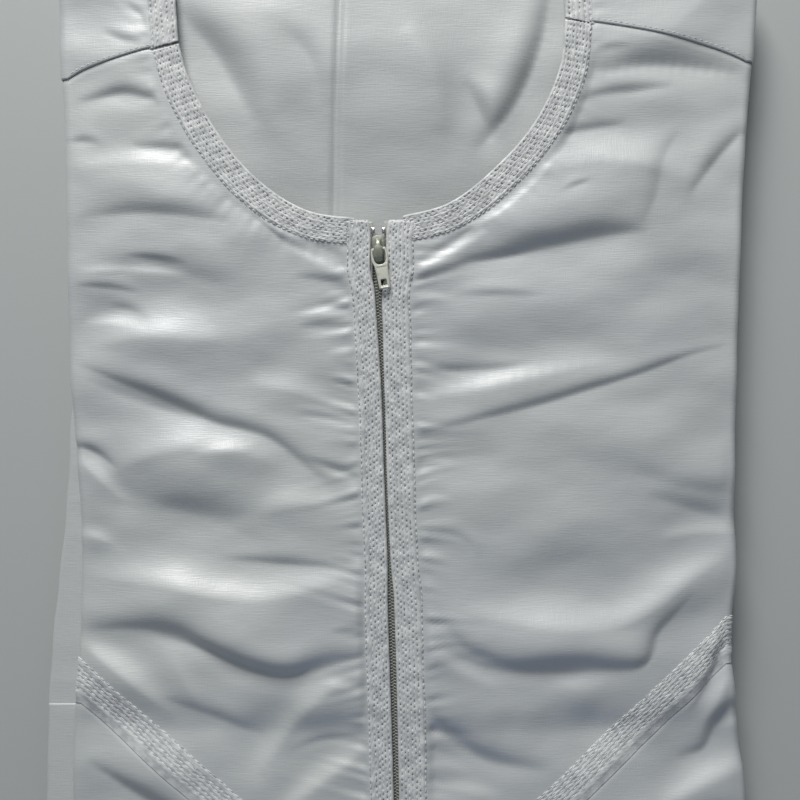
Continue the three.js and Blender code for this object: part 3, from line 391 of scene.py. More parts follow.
def mesh_piece(name, points, faces, finish, body="garment", stands_for=(), marks=None,
               thick=0.0):
    """A piece from points in millimetres and faces, with its finish and body, hiding the CAD parts it stands
    for; marks are its values.
    """
    mesh = bpy.data.meshes.new(name)
    corners = (np.reshape(points, (-1, 3)) * MM).tolist()
    mesh.from_pydata(corners, [], [list(map(int, face)) for face in faces])
    mesh.update()
    mesh.polygons.foreach_set("use_smooth", np.ones(len(mesh.polygons), bool))
    for mark, values in (marks or {}).items():
        stored = mesh.attributes.new(mark, "FLOAT", "POINT")
        stored.data.foreach_set("value", np.ravel(values).astype(np.float32))
    mesh.materials.append(finish)
    piece = bpy.data.objects.new(name, mesh)
    bpy.context.scene.collection.objects.link(piece)
    if thick:
        wall = piece.modifiers.new("thickness", "SOLIDIFY")
        wall.thickness, wall.offset, wall.use_even_offset = thick * MM, -1, False
    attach(piece, body)
    if stands_for:
        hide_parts(*stands_for)
    return piece


# ---- finishes -------------------------------------------------------------------------------------
class Value:
    """One output of a shader node. Arithmetic on it adds Math nodes, so a finish reads as a formula."""

    def __init__(self, finish, socket):
        self.finish, self.socket = finish, socket

    def math(self, operation, *values):
        node = self.finish.node("ShaderNodeMath", {"operation": operation}, dict(enumerate(values)))
        return Value(self.finish, node.outputs[0])

    def __add__(self, other):
        return self.math("ADD", self, other)

    def __sub__(self, other):
        return self.math("SUBTRACT", self, other)

    def __rsub__(self, other):
        return self.math("SUBTRACT", other, self)

    def __mul__(self, other):
        return self.math("MULTIPLY", self, other)

    __radd__, __rmul__ = __add__, __mul__

    def eased(self, low, high):
        """0 below low, 1 above high, and a soft step between."""
        sockets = {"Value": self, "From Min": low, "From Max": high}
        node = self.finish.node("ShaderNodeMapRange", {"interpolation_type": "SMOOTHSTEP"}, sockets)
        return Value(self.finish, node.outputs[0])


class Finish:
    """One material: a principled shader and the nodes that vary it."""

    def __init__(self, name, **sockets):
        self.material = bpy.data.materials.new(name)
        self.material.use_nodes = True
        self.tree = self.material.node_tree
        self.tree.nodes.clear()
        inputs = {key.replace("_", " "): value for key, value in sockets.items()}
        self.shader = self.node("ShaderNodeBsdfPrincipled", {}, inputs)
        output = self.node("ShaderNodeOutputMaterial")
        self.tree.links.new(self.shader.outputs[0], output.inputs["Surface"])
        self.place = Value(self, self.node("ShaderNodeTexCoord").outputs["Object"])

    def node(self, kind, settings=None, sockets=None):
        """Adds a node: its settings first, then a value or a link for each socket named."""
        made = self.tree.nodes.new(kind)
        for key, value in (settings or {}).items():
            setattr(made, key, value)
        for key, value in (sockets or {}).items():
            if isinstance(value, Value):
                self.tree.links.new(value.socket, made.inputs[key])
            else:
                made.inputs[key].default_value = value
        return made

    def mapped(self, place, **change):
        """That place, turned or scaled."""
        return Value(self, self.node("ShaderNodeMapping", {}, {"Vector": place, **change}).outputs[0])

    def noise(self, along, detail=2.0, turn=0.0):
        """Cloudy noise with so many features to a metre along x, y and z, after a turn about z."""
        place = self.mapped(self.mapped(self.place, Rotation=(0, 0, turn)), Scale=along)
        made = self.node("ShaderNodeTexNoise", {}, {"Vector": place, "Scale": 1.0, "Detail": detail})
        return Value(self, made.outputs[0])

    def mark(self, name):
        """The value stored at the piece's points under that name."""
        return Value(self, self.node("ShaderNodeAttribute", {"attribute_name": name}).outputs["Fac"])

    def colours(self, share, first, second):
        """A colour between two, by a share."""
        made = self.node("ShaderNodeMix", {"data_type": "RGBA"}, {0: share, 6: first, 7: second})
        return Value(self, made.outputs[2])

    def vary(self, colour=None, roughness=None, relief=None):
        """Links what changes over the surface; relief is a height in millimetres."""
        if colour is not None:
            self.tree.links.new(colour.socket, self.shader.inputs["Base Color"])
        if roughness is not None:
            self.tree.links.new(roughness.socket, self.shader.inputs["Roughness"])
        if relief is not None:
            made = self.node("ShaderNodeBump", {}, {"Height": relief, "Distance": MM, "Strength": 1.0})
            self.tree.links.new(made.outputs[0], self.shader.inputs["Normal"])
        return self.material


def woven(finish, fine, slub):
    """Relief of a satin weave: threads across, threads up, and slow slubs, in millimetres."""
    across = finish.noise((170, 2100, 300), 1.0)
    up = finish.noise((2300, 190, 300), 1.0)
    slow = finish.noise((90, 150, 90), 3.0, 0.35)
    return across * fine + up * (0.7 * fine) + slow * slub


def satin(name, light, deep, rough, fine=0.07, slub=0.09):
    """Pale satin: two near tints in slow clouds and faint threads, lit softly by its sheen."""
    finish = Finish(name, Sheen_Weight=0.15, Sheen_Roughness=0.4, Specular_IOR_Level=0.8)
    clouds = finish.noise((9, 9, 9), 2.0)
    threads = finish.noise((60, 1500, 60), 1.0)
    share = clouds.eased(0.3, 0.7) * 0.6 + threads * 0.4
    roughness = finish.noise((30, 300, 30), 2.0) * 0.05 + (rough - 0.025)
    return finish.vary(finish.colours(share, light, deep), roughness, woven(finish, fine, slub))


def banded(name, light, deep, hole_shade_colour):
    """The same satin, quilted by stitching: rougher in the needle holes and darkened there with painted
    shade, with small puckers.
    """
    finish = Finish(name, Sheen_Weight=0.2, Sheen_Roughness=0.4, Specular_IOR_Level=0.4)
    share = finish.noise((260, 260, 260), 2.0).eased(0.3, 0.7)
    cloth = finish.colours(share, light, deep)
    holes = finish.mark("needle_holes_and_shade").eased(0.12, 0.75)
    puckers = finish.noise((420, 420, 420), 2.0) * 0.17
    # painted shade: the needle holes are mixed towards a near-black colour for the shade in them and beside
    # the threads
    colour = finish.colours(holes, cloth, hole_shade_colour)
    return finish.vary(colour, holes * 0.25 + 0.5, woven(finish, 0.05, 0.08) + puckers)


def spun(name, light, deep):
    """Polyester sewing thread: fine twist and a soft shine."""
    finish = Finish(name, Sheen_Weight=0.3, Specular_IOR_Level=0.5)
    twist = finish.noise((1900, 1900, 1900), 1.0, 0.7)
    worn = finish.noise((480, 480, 480), 2.0).eased(0.34, 0.6)
    return finish.vary(finish.colours(worn, deep, light), twist * 0.2 + 0.4, twist * 0.05)


def painted(name, light, worn, rough, metallic=0.0, grain=0.02):
    """Enamel on die-cast metal: small dents in the paint and wear in patches."""
    finish = Finish(name, Metallic=metallic, Specular_IOR_Level=0.5, Coat_Weight=0.25, Coat_Roughness=0.2)
    wear = finish.noise((700, 700, 700), 3.0).eased(0.52, 0.72)
    dents = finish.noise((1500, 1500, 1500), 2.0)
    return finish.vary(finish.colours(wear, light, worn), wear * 0.2 + rough, dents * grain)


SATIN = satin("satin_cloth", (0.56, 0.585, 0.575, 1), (0.49, 0.515, 0.53, 1), 0.41)
# the inside of the back: the same satin with darker tints as painted shade for the cloth one fold lower in
# the neck's hollow; its rougher finish is the cloth's own
SATIN_INSIDE_SHADED = satin("satin_inside_shaded", (0.49, 0.515, 0.51, 1), (0.43, 0.455, 0.46, 1), 0.5)
SATIN_HIDDEN = satin("satin_folded", (0.56, 0.58, 0.575, 1), (0.5, 0.525, 0.525, 1), 0.5)
# the last colour is painted shade, near black, for the needle holes
STITCHED = banded("stitched_band", (0.68, 0.695, 0.69, 1), (0.49, 0.505, 0.51, 1), (0.07, 0.075, 0.08, 1))
THREAD = spun("sewing_thread", (0.84, 0.86, 0.86, 1), (0.4, 0.41, 0.415, 1))
TAPE = spun("zip_tape", (0.5, 0.51, 0.48, 1), (0.36, 0.37, 0.34, 1))
COIL_PAINT = painted("zip_coil", (0.3, 0.31, 0.28, 1), (0.36, 0.37, 0.34, 1), 0.5)
SLIDER_PAINT = painted("slider_paint", (0.27, 0.29, 0.235, 1), (0.4, 0.42, 0.37, 1), 0.3, 0.25)
PULL_PAINT = painted("pull_paint", (0.66, 0.67, 0.58, 1), (0.5, 0.51, 0.45, 1), 0.32, 0.1)
STOP_METAL = painted("stop_metal", (0.6, 0.6, 0.58, 1), (0.4, 0.4, 0.4, 1), 0.22, 0.9)


# ---- stitches and stitched bands --------------------------------------------------------------------
STITCH = {"pitch": 2.5, "length": 1.95, "radius": 0.17, "proud": 0.12, "sunk": 0.12, "sides": 5}
BAND_STEP = 0.42   # between points across a band


def row_length(line):
    """Length along a flat line at each of its points."""
    return np.r_[0, np.cumsum(np.hypot(*np.diff(line, axis=0).T))]


def thread_faces(sides):
    """Faces of one stitch: three rings of so many sides, and a point at each end."""
    pairs = [(k, (k + 1) % sides) for k in range(sides)]
    tip = [[0, 1 + b, 1 + a] for a, b in pairs]
    walls = [[1 + k * sides + a, 1 + k * sides + b, 1 + (k + 1) * sides + b, 1 + (k + 1) * sides + a]
             for k in (0, 1) for a, b in pairs]
    far = [[1 + 3 * sides, 1 + 2 * sides + a, 1 + 2 * sides + b] for a, b in pairs]
    return tip, walls, far


def stitch_threads(name, lines, lifts, phases, pitch=STITCH["pitch"], thick=1.0):
    """Stitches along flat lines: each is a five-sided thread, thick in the middle and pointed at both ends,
    bowed upwards by its height times 1 − t², laid on the cloth by the same form as the cloth itself."""
    sides, stations = STITCH["sides"], np.array([-0.72, 0.0, 0.72])
    angle = 2 * np.pi * np.arange(sides) / sides
    t = np.r_[-1, np.repeat(stations, sides), 1]
    flats, heights = [], []
    for line, lift, phase in zip(lines, lifts, phases):
        length = row_length(line)
        centre = np.arange((1 - phase % 1) * pitch, length[-1] - 0.6 * pitch, pitch)
        centre = centre + 0.22 * np.sin(7.1 * centre + 3 * phase)
        reach = centre[:, None] + 0.5 * STITCH["length"] * pitch / STITCH["pitch"] * t
        x, y = (np.interp(reach, length, line[:, axis]) for axis in (0, 1))
        dx, dy = (np.interp(reach, length, np.gradient(line[:, axis], length)) for axis in (0, 1))
        taper = np.sqrt(1 - 0.6 * t * t)
        round_x, round_z = (np.r_[0, np.tile(part, 3), 0] * STITCH["radius"] * thick * taper
                            for part in (np.cos(angle), np.sin(angle)))
        slant = 0.13 * t * np.sin(5.3 * centre[:, None] + phase)
        flats.append(np.stack([x - dy * (round_x + slant), y + dx * (round_x + slant)], -1).reshape(-1, 2))
        bow = STITCH["proud"] * (1 - t * t)
        heights.append((lift + round_z + bow - STITCH["sunk"] + 0 * reach).ravel())
    flat, height = np.concatenate(flats), np.concatenate(heights)
    points = drape(flat[:, 0], flat[:, 1], height)
    starts = np.arange(0, len(points), len(t))[:, None, None]
    faces = [face for part in thread_faces(sides)
             for face in (np.array(part)[None] + starts).reshape(-1, len(part[0])).tolist()]
    return mesh_piece(name, points, faces, THREAD)


def needle_rows(inner, across, width, rows, v, pitch, seed):
    """The stitch rows of a band, which wander a little. Gives how much needle hole and groove there is at
    each point, a bell round each hole and along each row, then the rows' lines and phases."""
    full = width.max()
    holes, groove = np.zeros((2, len(inner), len(v)))
    lines, phases = [], []
    for k, place in enumerate(rows):
        line = inner + across * (place * width / full)[:, None]
        length = row_length(line)
        phase = 0.37 * k + 0.618 * seed
        wander = 0.16 * np.sin(length / 9 + 2 * k + seed) + 0.1 * np.sin(length / 3.7 + 5 * k)
        gap = length / pitch + phase
        gap = np.abs(gap - np.round(gap)) * pitch
        to_row = v[None] - place - wander[:, None]
        deep = 0.6 + 0.4 * np.sin(length * 2.9 + 4 * k + seed)
        # this bell round each hole sinks the cloth, and it also places the painted shade of the holes
        holes += bump(to_row / 0.36) * (bump(gap / 0.55) * deep)[:, None]
        groove += bump(to_row / 0.5)
        lines.append(line + across * wander[:, None])
        phases.append(phase + 0.5)
    return holes, groove, lines, phases


def stitched_band(name, inner, outer, rows, node, rolled=True, dips=False, seed=1.0, base=0.5,
                  pitch=STITCH["pitch"], thick=1.0, depth=1.0):
    """A topstitched strip between two flat lines of equal count. Across it the cloth rolls down at the
    inner edge, puffs up between the stitch rows, drops at each needle hole, and sinks at the outer edge,
    and at both ends too where it dips. Gives the strip, its stitches, and its cut's width and length."""
    width = np.hypot(*(outer - inner).T)
    across = (outer - inner) / width[:, None]
    full = width.max()
    flat_v = np.r_[np.arange(1.0 if rolled else 0.0, full, BAND_STEP), full]
    turn = np.radians(np.linspace(225, 100, 7))
    v = np.r_[1.0 + np.cos(turn), flat_v] if rolled else flat_v
    edge_lift = np.r_[np.sin(turn) - 1.0, 0 * flat_v] if rolled else -0.42 * (1 - smooth(flat_v / 5))
    edge_lift = edge_lift - 0.68 * smooth((v - full + 1.8) / 1.8)
    holes, groove, lines, phases = needle_rows(inner, across, width, rows, v, pitch, seed)
    length = row_length(inner)
    along = length[:, None]
    quilt = 0.17 * np.sin(along / 0.9 + 1.7 * v[None] + seed) * np.sin(v[None] * 2.1 + along / 2.7)
    inside = smooth((v if rolled else v - 3.5) / 1.5)[None] * smooth((full - v) / 1.5)[None]
    lift = base + edge_lift[None] + inside * (0.14 - 0.26 * groove + depth * quilt) - 0.4 * depth * holes
    if dips:
        lift = lift - 1.2 * (1 - smooth(along / 4) * smooth((along[-1] - along) / 1.2))
    x, y = (inner[:, [axis]] + across[:, [axis]] * v[None] * (width / full)[:, None] for axis in (0, 1))
    a, b, c = inner[0], outer[0], inner[1]
    turned = (b[0] - a[0]) * (c[1] - a[1]) - (b[1] - a[1]) * (c[0] - a[0]) < 0
    # the mark of the needle holes goes to the finish as painted shade, and as rougher cloth
    band = mesh_piece(name, drape(x, y, lift), grid_faces(*x.shape, flip=turned), STITCHED,
                      stands_for=[node],
                      marks={"needle_holes_and_shade": np.clip(holes * depth, 0, 1)}, thick=CLOTH)
    threads = stitch_threads(name + "_stitches", lines, [base - 0.06] * len(lines), phases, pitch, thick)
    direction = (inner[10] - inner[9]) / (length[10] - length[9])
    square = np.abs(across[9, 0] * direction[1] - across[9, 1] * direction[0])
    return band, threads, (np.median(width) * square + 2 * rolled) * MM, length[-1] * MM


def seam_line(name, count, past=0.0):
    """The V seam as a flat line from the zip to the side, then past the fold."""
    start = np.array([zip_x(name, CHEST_SEAM["point"]), CHEST_SEAM["point"]])
    height = CHEST_SEAM[name]
    end = np.array([side_x(name, height, ROLL), height])
    line = mix(start, end, np.linspace(0, 1, count)[:, None])
    if past:
        more = np.arange(0.6, past, 0.6)[:, None]
        line = np.r_[line, end + more * [OUT[name], 0]]
    return line


def shoulder_line(name, share):
    """The shoulder seam, from the neck edge out to the side: a straight line bowed slightly upwards, as
    4 s (1 − s) of the bow, which drops over its last fifth as the square."""
    height, bow = SHOULDER[name]
    start, end = np.array(NECK[name][-1], float), np.array([side_x(name, height, ROLL), height])
    line = mix(start, end, share[:, None])
    line[:, 1] += 4 * bow * share * (1 - share) - 1.3 * np.clip((share - 0.8) / 0.2, 0, 1) ** 2
    return line


def past_fold(columns, name, y):
    """Adds places past the folded side, on to the tucked edge, to rows of flat x."""
    more = np.arange(TUCK_STEP, TUCKED, TUCK_STEP)
    return np.concatenate([columns, side_x(name, y, ROLL)[:, None] + OUT[name] * more], 1)


def widened(y, columns):
    """Rows of y with their last value repeated up to so many columns."""
    return np.concatenate([y, np.repeat(y[:, -1:], columns - y.shape[1], 1)], 1)


def chest_front(name):
    """One chest panel, from the V seam to the shoulder: its rows run from the zip or the neck to the side."""
    zip_y = np.linspace(CHEST_SEAM["point"] + 3, NECK[name][0][1] - 2, 228, endpoint=False)
    neck = soft_path(NECK[name], 92)
    away = neck - NECK_CENTRE
    neck = neck + UNDER_BAND * away / np.hypot(*away.T)[:, None]
    start = np.r_[np.c_[zip_x(name, zip_y) + OUT[name] * UNDER_BAND, zip_y], neck[2:]]
    low, level, high = CHEST_SEAM[name] + 3, 96, SHOULDER[name][0]   # at the side: foot, neck's start and top
    side_y = np.r_[mix(low, level, np.linspace(0, 1, len(zip_y))),
                   mix(level, high, np.linspace(0, 1, len(neck) - 1))[1:]]
    share = np.linspace(0, 1, 112)
    x = mix(start[:, :1], side_x(name, side_y, ROLL)[:, None], share[None])
    y = mix(start[:, 1:], side_y[:, None], share[None])
    seam = shoulder_line(name, share)
    rise = smooth(np.linspace(0, 1, len(start)) * 3 - 2)[:, None]
    y = y + rise * (seam[:, 1] - mix(NECK[name][-1][1], high, share))[None]
    x = past_fold(x, name, side_y)
    y = widened(y, x.shape[1])
    below = np.interp(x, *(seam[np.argsort(seam[:, 0])].T)) - y
    lift = -0.4 * (1 - smooth(below / 2.2))
    return mesh_piece(f"chest_{name}", drape(x, y, lift), grid_faces(*x.shape, flip=name == "left"), SATIN,
                      stands_for=[f"front_{name}"], thick=CLOTH)


def shoulder(name):
    """The back's shoulder, from its lapped seam up over the top fold and under. It lies a fold of cloth above
    the chest at the seam, and that lift dies away upwards as e^(−d/8)."""
    share = np.linspace(0.03, 1, 58)
    seam = shoulder_line(name, share)
    top = HALF_LENGTH - ROLL
    fall = np.r_[0, 0.12, 0.3, 0.6, 1.0, 1.6, np.arange(2.6, 60, 1.1)]
    t = np.clip(fall[:, None] / (top - seam[:, 1])[None], 0, 1)
    t = t[t.min(1) < 1]
    t[-1] = 1
    y = mix(seam[:, 1][None], top, t)
    neck_x = mix(NECK[name][-1][0], NECK_AT_FOLD[name], (y[:, 0] - seam[0, 1]) / (top - seam[0, 1]))
    side = side_x(name, y[:, -1], ROLL)
    begin = neck_x + OUT[name] * UNDER_BAND
    x = mix(begin[:, None], side[:, None], ((share - share[0]) / (1 - share[0]))[None])
    x = past_fold(x, name, y[:, -1])
    y = widened(y, x.shape[1])
    runs = np.arange(TUCK_STEP, TUCKED, TUCK_STEP)
    x = np.r_[x, np.repeat(x[-1:], len(runs), 0)]
    y = np.r_[y, y[-1:] + runs[:, None]]
    edge = np.r_[fall[:len(t)], np.full(len(runs), FAR)]
    lift = (0.32 * smooth(edge / 0.45) - 0.3 * (edge == 0) + 0.08)[:, None]
    lift = lift * np.exp(-np.maximum(edge - 3, 0) / 8)[:, None]
    faces = grid_faces(*x.shape, flip=name == "left")
    return mesh_piece(f"shoulder_{name}", drape(x, y, lift + 0 * x), faces, SATIN, thick=CLOTH)


def back_inside():
    """The inside of the back seen through the neck: one fold lower, softly raised, with a pressed crease, in
    satin tinted darker as painted shade.
    """
    share = np.linspace(0, 1, 120)[:, None]
    x = np.linspace(-124, 128, 190)[None] + 0 * share
    edge = np.minimum(236, 230 + 6 * ((x - NECK_CENTRE[0]) / 80) ** 2)
    y = mix(82, edge, share)
    depth, _, _ = outline(x, y)
    form = plain_top(depth) - 2 * ROLL + 1.0
    form = form + 2.2 * bump(np.hypot((x + 9) / 62, (y - 180) / 34))
    press = x - look_up(BACK_PRESS, y)
    form = form + 0.5 * smooth((press + 1.0) / 2.0) * np.exp(-np.maximum(press, 0) / 9)
    form = form - 1.1 * bump((press + 1.2) / 1.5)
    for step, width, route in BACK_CREASES:
        form = form + crease(step, width, route, x.ravel(), y.ravel()).reshape(x.shape)
    form = form + 0.6 * ripple(x + 31, y - 17) - 0.9 * smooth((y - edge + 1.6) / 1.6)
    return mesh_piece("back_inside", np.stack([x, y, form], -1), grid_faces(*x.shape), SATIN_INSIDE_SHADED,
                      stands_for=["back"], thick=CLOTH)


def lower_front():
    """The panel that hangs from the V seam and turns under at the folded end and at both sides."""
    share = np.linspace(0, 1, 236)
    seam = np.r_[seam_line("left", 40)[::-1], seam_line("right", 40)]
    seam_y = np.full(len(share), -100.0)
    for _ in range(6):   # nearer to the seam each time
        seam_x = mix(*(side_x(name, seam_y, ROLL - TUCKED) for name in OUT), share)
        seam_y = mix(seam_y, np.interp(seam_x, *seam.T), 0.8)
    fall = np.r_[np.linspace(0, 0.03, 6)[:-1], np.linspace(0.03, 1, 118)][:, None]
    y = mix(seam_y + 2.0, -HALF_LENGTH + ROLL - TUCKED, fall)
    x = mix(*(side_x(name, y, ROLL - TUCKED) for name in OUT), share)
    lift = -0.4 * (1 - smooth((seam_y + 1.2 - y) / 3))
    return mesh_piece("lower_front", drape(x, y, lift), grid_faces(*x.shape, flip=True), SATIN,
                      stands_for=["front_lower"], thick=CLOTH)


# ---- the cloth --------------------------------------------------------------------------------------
chest = [chest_front(name) for name in OUT]
shoulders = [shoulder(name) for name in OUT]
panels = [*chest, *shoulders, back_inside(), lower_front()]

# ---- stitched bands ---------------------------------------------------------------------------------
ROWS = {   # stitch rows across each band, from its inner edge
    "neck": [1.3, 2.7, 4.1, 5.5, 6.9, 8.3, 9.7, 11.4],
    "back_neck": [1.6, 4.0, 6.4, 8.8, 11.2],
    "placket": {"left": [1.5, 2.9, 4.3, 5.8, 7.3, 9.8], "right": [1.5, 3.0, 4.5, 6.1, 7.7, 9.4, 11.8]},
    "chest": {"left": [5.0, 6.8, 8.6, 10.4, 12.0, 14.7], "right": [5.6, 7.2, 8.8, 10.4, 12.0, 13.4, 14.7]},
}
BACK_NECK_TILT = {"left": 3.6, "right": 3.2}   # how far the band's outer edge starts below its inner one


def neck_band(name):
    """The band round the neck's front, at right angles to the neck edge, up to the shoulder seam."""
    edge = soft_path(NECK[name], 300)[14:]
    away = np.gradient(edge, axis=0)[:, ::-1] * [1, -1]
    away = away / np.hypot(*away.T)[:, None]
    away = away * np.sign((away * (edge - NECK_CENTRE)).sum(1))[:, None]
    return stitched_band(f"neck_band_{name}_cloth", edge, edge + away * NECK_BAND, ROWS["neck"],
                         f"neck_band_{name}", dips=True, seed=1.3)


def back_neck_band(name):
    """The band from the shoulder seam up over the top fold."""
    start, far = np.array(NECK[name][-1], float), np.array([NECK_AT_FOLD[name], HALF_LENGTH - ROLL])
    share = np.linspace(0, 1, 92)[:, None]
    over = np.arange(0.5, 8, 0.5)[:, None]
    edge = np.r_[mix(start + [0, 0.4], far, share), far + over * [0, 1]]
    tilt = np.r_[1 - share, 0 * over]
    outer = edge + [OUT[name] * NECK_BAND, 0] - tilt * [0, BACK_NECK_TILT[name]]
    return stitched_band(f"back_neck_band_{name}_cloth", edge, outer, ROWS["back_neck"],
                         f"back_neck_band_{name}", seed=2.1)


def placket(name):
    """The band up one side of the zip."""
    y = np.arange(-190, NECK[name][0][1], 0.5)
    edge = np.c_[zip_x(name, y), y]
    return stitched_band(f"placket_{name}_cloth", edge, edge + [OUT[name] * PLACKET[name], 0],
                         ROWS["placket"][name], f"placket_{name}", dips=True, seed=3.4 + OUT[name])


def chest_band(name):
    """The band above the V seam, whose width is measured square to the seam."""
    seam = seam_line(name, 330, past=8)
    rise = CHEST_BAND * np.hypot(*(seam[300] - seam[0])) / abs(seam[300, 0] - seam[0, 0])
    rows = list(np.array(ROWS["chest"][name]) * rise / CHEST_BAND)
    return stitched_band(f"chest_band_{name}_cloth", seam, seam + [0, rise], rows, f"chest_band_{name}",
                         rolled=False, seed=4.7 + OUT[name], base=0.35, pitch=3.2, thick=1.35, depth=0.4)


bands = []
for name in OUT:
    bands += [neck_band(name), back_neck_band(name), placket(name), chest_band(name)]
    topstitch = shoulder_line(name, np.linspace(0.03, 1.02, 120)) + [0, 1.4]
    stitch_threads(f"shoulder_topstitch_{name}", [topstitch], [0.42], [0.3])

# ---- zip --------------------------------------------------------------------------------------------
ZIP_FOOT, COIL_TOP, SLIDER_Y = CHEST_SEAM["point"] + 8, 106, 108.4
COIL = {"pitch": 1.35, "across": 1.05, "up": 0.62, "wire": 0.27, "middle": 0.85, "below": 2.15}
slider_x = float(look_up(ZIP_MIDDLE, SLIDER_Y))
slider_at = np.array([slider_x, SLIDER_Y, float(cloth_top(slider_x, SLIDER_Y))])


def zip_tape(name):
    """Woven tape beside the teeth: a thin strip with a corded edge, its ribs running up it."""
    y = np.linspace(ZIP_FOOT, NECK[name][0][1] - 1, 330)[:, None]
    across = np.r_[2.5, 2.6, 2.9, 3.2, np.arange(3.6, 11.01, 0.5)][None]
    x = look_up(ZIP_MIDDLE, y) + OUT[name] * across
    lift = -1.35 - 0.25 * (1 - bump((across - 2.95) / 0.45)) + 0.04 * np.cos(2 * np.pi * across)
    height = cloth_top(look_up(ZIP_MIDDLE, y) + 0 * x, y + 0 * x)
    points = np.stack([x, y + 0 * x, height + lift], -1)
    return mesh_piece(f"zip_tape_{name}_woven", points, grid_faces(*x.shape, flip=name == "left"), TAPE,
                      stands_for=[f"zip_tape_{name}"], thick=0.5)


def tube(path, radius_across, radius_up, turns, up=(0, 0, 1)):
    """A round or oval section carried along a path of points, as a grid of rings."""
    along = np.gradient(path, axis=0)
    along = along / np.linalg.norm(along, axis=1)[:, None]
    sideways = np.cross(along, up)
    sideways = sideways / np.maximum(np.linalg.norm(sideways, axis=1), 1e-6)[:, None]
    above = np.cross(sideways, along)
    angle = 2 * np.pi * np.arange(turns) / turns
    across = (np.reshape(radius_across, (-1, 1)) * np.cos(angle))[..., None]
    height = (np.reshape(radius_up, (-1, 1)) * np.sin(angle))[..., None]
    return path[:, None] + sideways[:, None] * across + above[:, None] * height


def capped(rings):
    """Faces that close a run of rings with a fan to a middle point at each end; gives points and faces."""
    count, turns = rings.shape[:2]
    points = np.concatenate([rings.reshape(-1, 3), rings[0].mean(0)[None], rings[-1].mean(0)[None]])
    faces = grid_faces(count, turns, round_columns=True).tolist()
    ring = np.arange(turns)
    low, high, last = count * turns, count * turns + 1, (count - 1) * turns
    faces += [[low, (k + 1) % turns, k] for k in ring]
    faces += [[high, last + k, last + (k + 1) % turns] for k in ring]
    return points, faces


def merged(parts):
    """Several (points, faces) as one."""
    starts = np.cumsum([0] + [len(points) for points, _ in parts])
    faces = [[int(corner) + start for corner in face]
             for (_, part), start in zip(parts, starts) for face in part]
    return np.concatenate([points for points, _ in parts]), faces


def zip_coil():
    """The teeth: a helix of flattened turns to each side of the middle, interlocked, and a core below."""
    parts = []
    for name, phase in (("left", 0.0), ("right", np.pi)):
        turn = np.arange(0, 2 * np.pi * (COIL_TOP - ZIP_FOOT) / COIL["pitch"], np.pi / 5)
        y = ZIP_FOOT + turn * COIL["pitch"] / (2 * np.pi)
        middle = look_up(ZIP_MIDDLE, y)
        x = middle + OUT[name] * (COIL["middle"] + COIL["across"] * np.cos(turn + phase))
        z = cloth_top(middle, y) - COIL["below"] + COIL["up"] * np.sin(turn + phase)
        parts.append(capped(tube(np.stack([x, y, z], -1), COIL["wire"], COIL["wire"], 5, up=(0, 1, 0))))
    y = np.linspace(ZIP_FOOT, COIL_TOP, 60)
    core = np.stack([look_up(ZIP_MIDDLE, y), y, cloth_top(look_up(ZIP_MIDDLE, y), y) - 2.5], -1)
    parts.append(capped(tube(core, 1.6, 0.35, 8)))
    points, faces = merged(parts)
    mesh_piece("zip_coil_loops", points, faces, COIL_PAINT, stands_for=["zip_coil"])


def round_loop(corners, count=72, soften=2):
    """A closed outline of count points through the corners, rounded by averaging neighbours."""
    corners = np.array(corners + corners[:1], float)
    length = row_length(corners)
    even = np.linspace(0, length[-1], count, endpoint=False)
    loop = np.stack([np.interp(even, length, corners[:, axis]) for axis in (0, 1)], 1)
    for _ in range(soften):
        loop = (np.roll(loop, 1, 0) + 2 * loop + np.roll(loop, -1, 0)) / 4
    return loop


def squarer(t, power):
    """The size of t to a power, with its sign kept: below 1 it makes a circle's section squarer."""
    return np.sign(t) * np.abs(t) ** power


def pillow_plate(corners, low, high, edge, crown=0.0):
    """A plate cut to an outline, with rounded edges and a slight crown: rings from its bottom to its top."""
    loop = round_loop(corners)
    centre = loop.mean(0)
    inward = centre - loop
    inward = inward / np.hypot(*inward.T)[:, None]
    flat = loop + inward * edge
    rings = [np.c_[mix(centre, flat, share), np.full(len(loop), low)] for share in (0.3, 0.6)]
    for t in np.radians([-90, -60, -30, 0, 30, 60, 90]):
        height = (low + edge if t < 0 else high - edge) + edge * np.sin(t)
        rings.append(np.c_[loop + inward * edge * (1 - np.cos(t)), np.full(len(loop), height)])
    for share in (0.75, 0.5, 0.25):
        rings.append(np.c_[mix(centre, flat, share), np.full(len(loop), high + crown * (1 - share ** 2))])
    return capped(np.array(rings))


def ring_plate(inner, outer, low, high, power=0.45):
    """A plate with a hole: across it the section is a rounded rectangle between two outlines."""
    angle = 2 * np.pi * np.arange(16) / 16
    across, up = squarer(np.cos(angle), power), squarer(np.sin(angle), power)
    middle, half = (inner + outer) / 2, (outer - inner) / 2
    flat_place = middle[:, None] + half[:, None] * across[None, :, None]
    z = (low + high) / 2 + (high - low) / 2 * up
    points = np.concatenate([flat_place, np.repeat(z[None, :, None], len(inner), 0)], -1)
    return points.reshape(-1, 3), grid_faces(len(inner), 16, round_rows=True, round_columns=True).tolist()


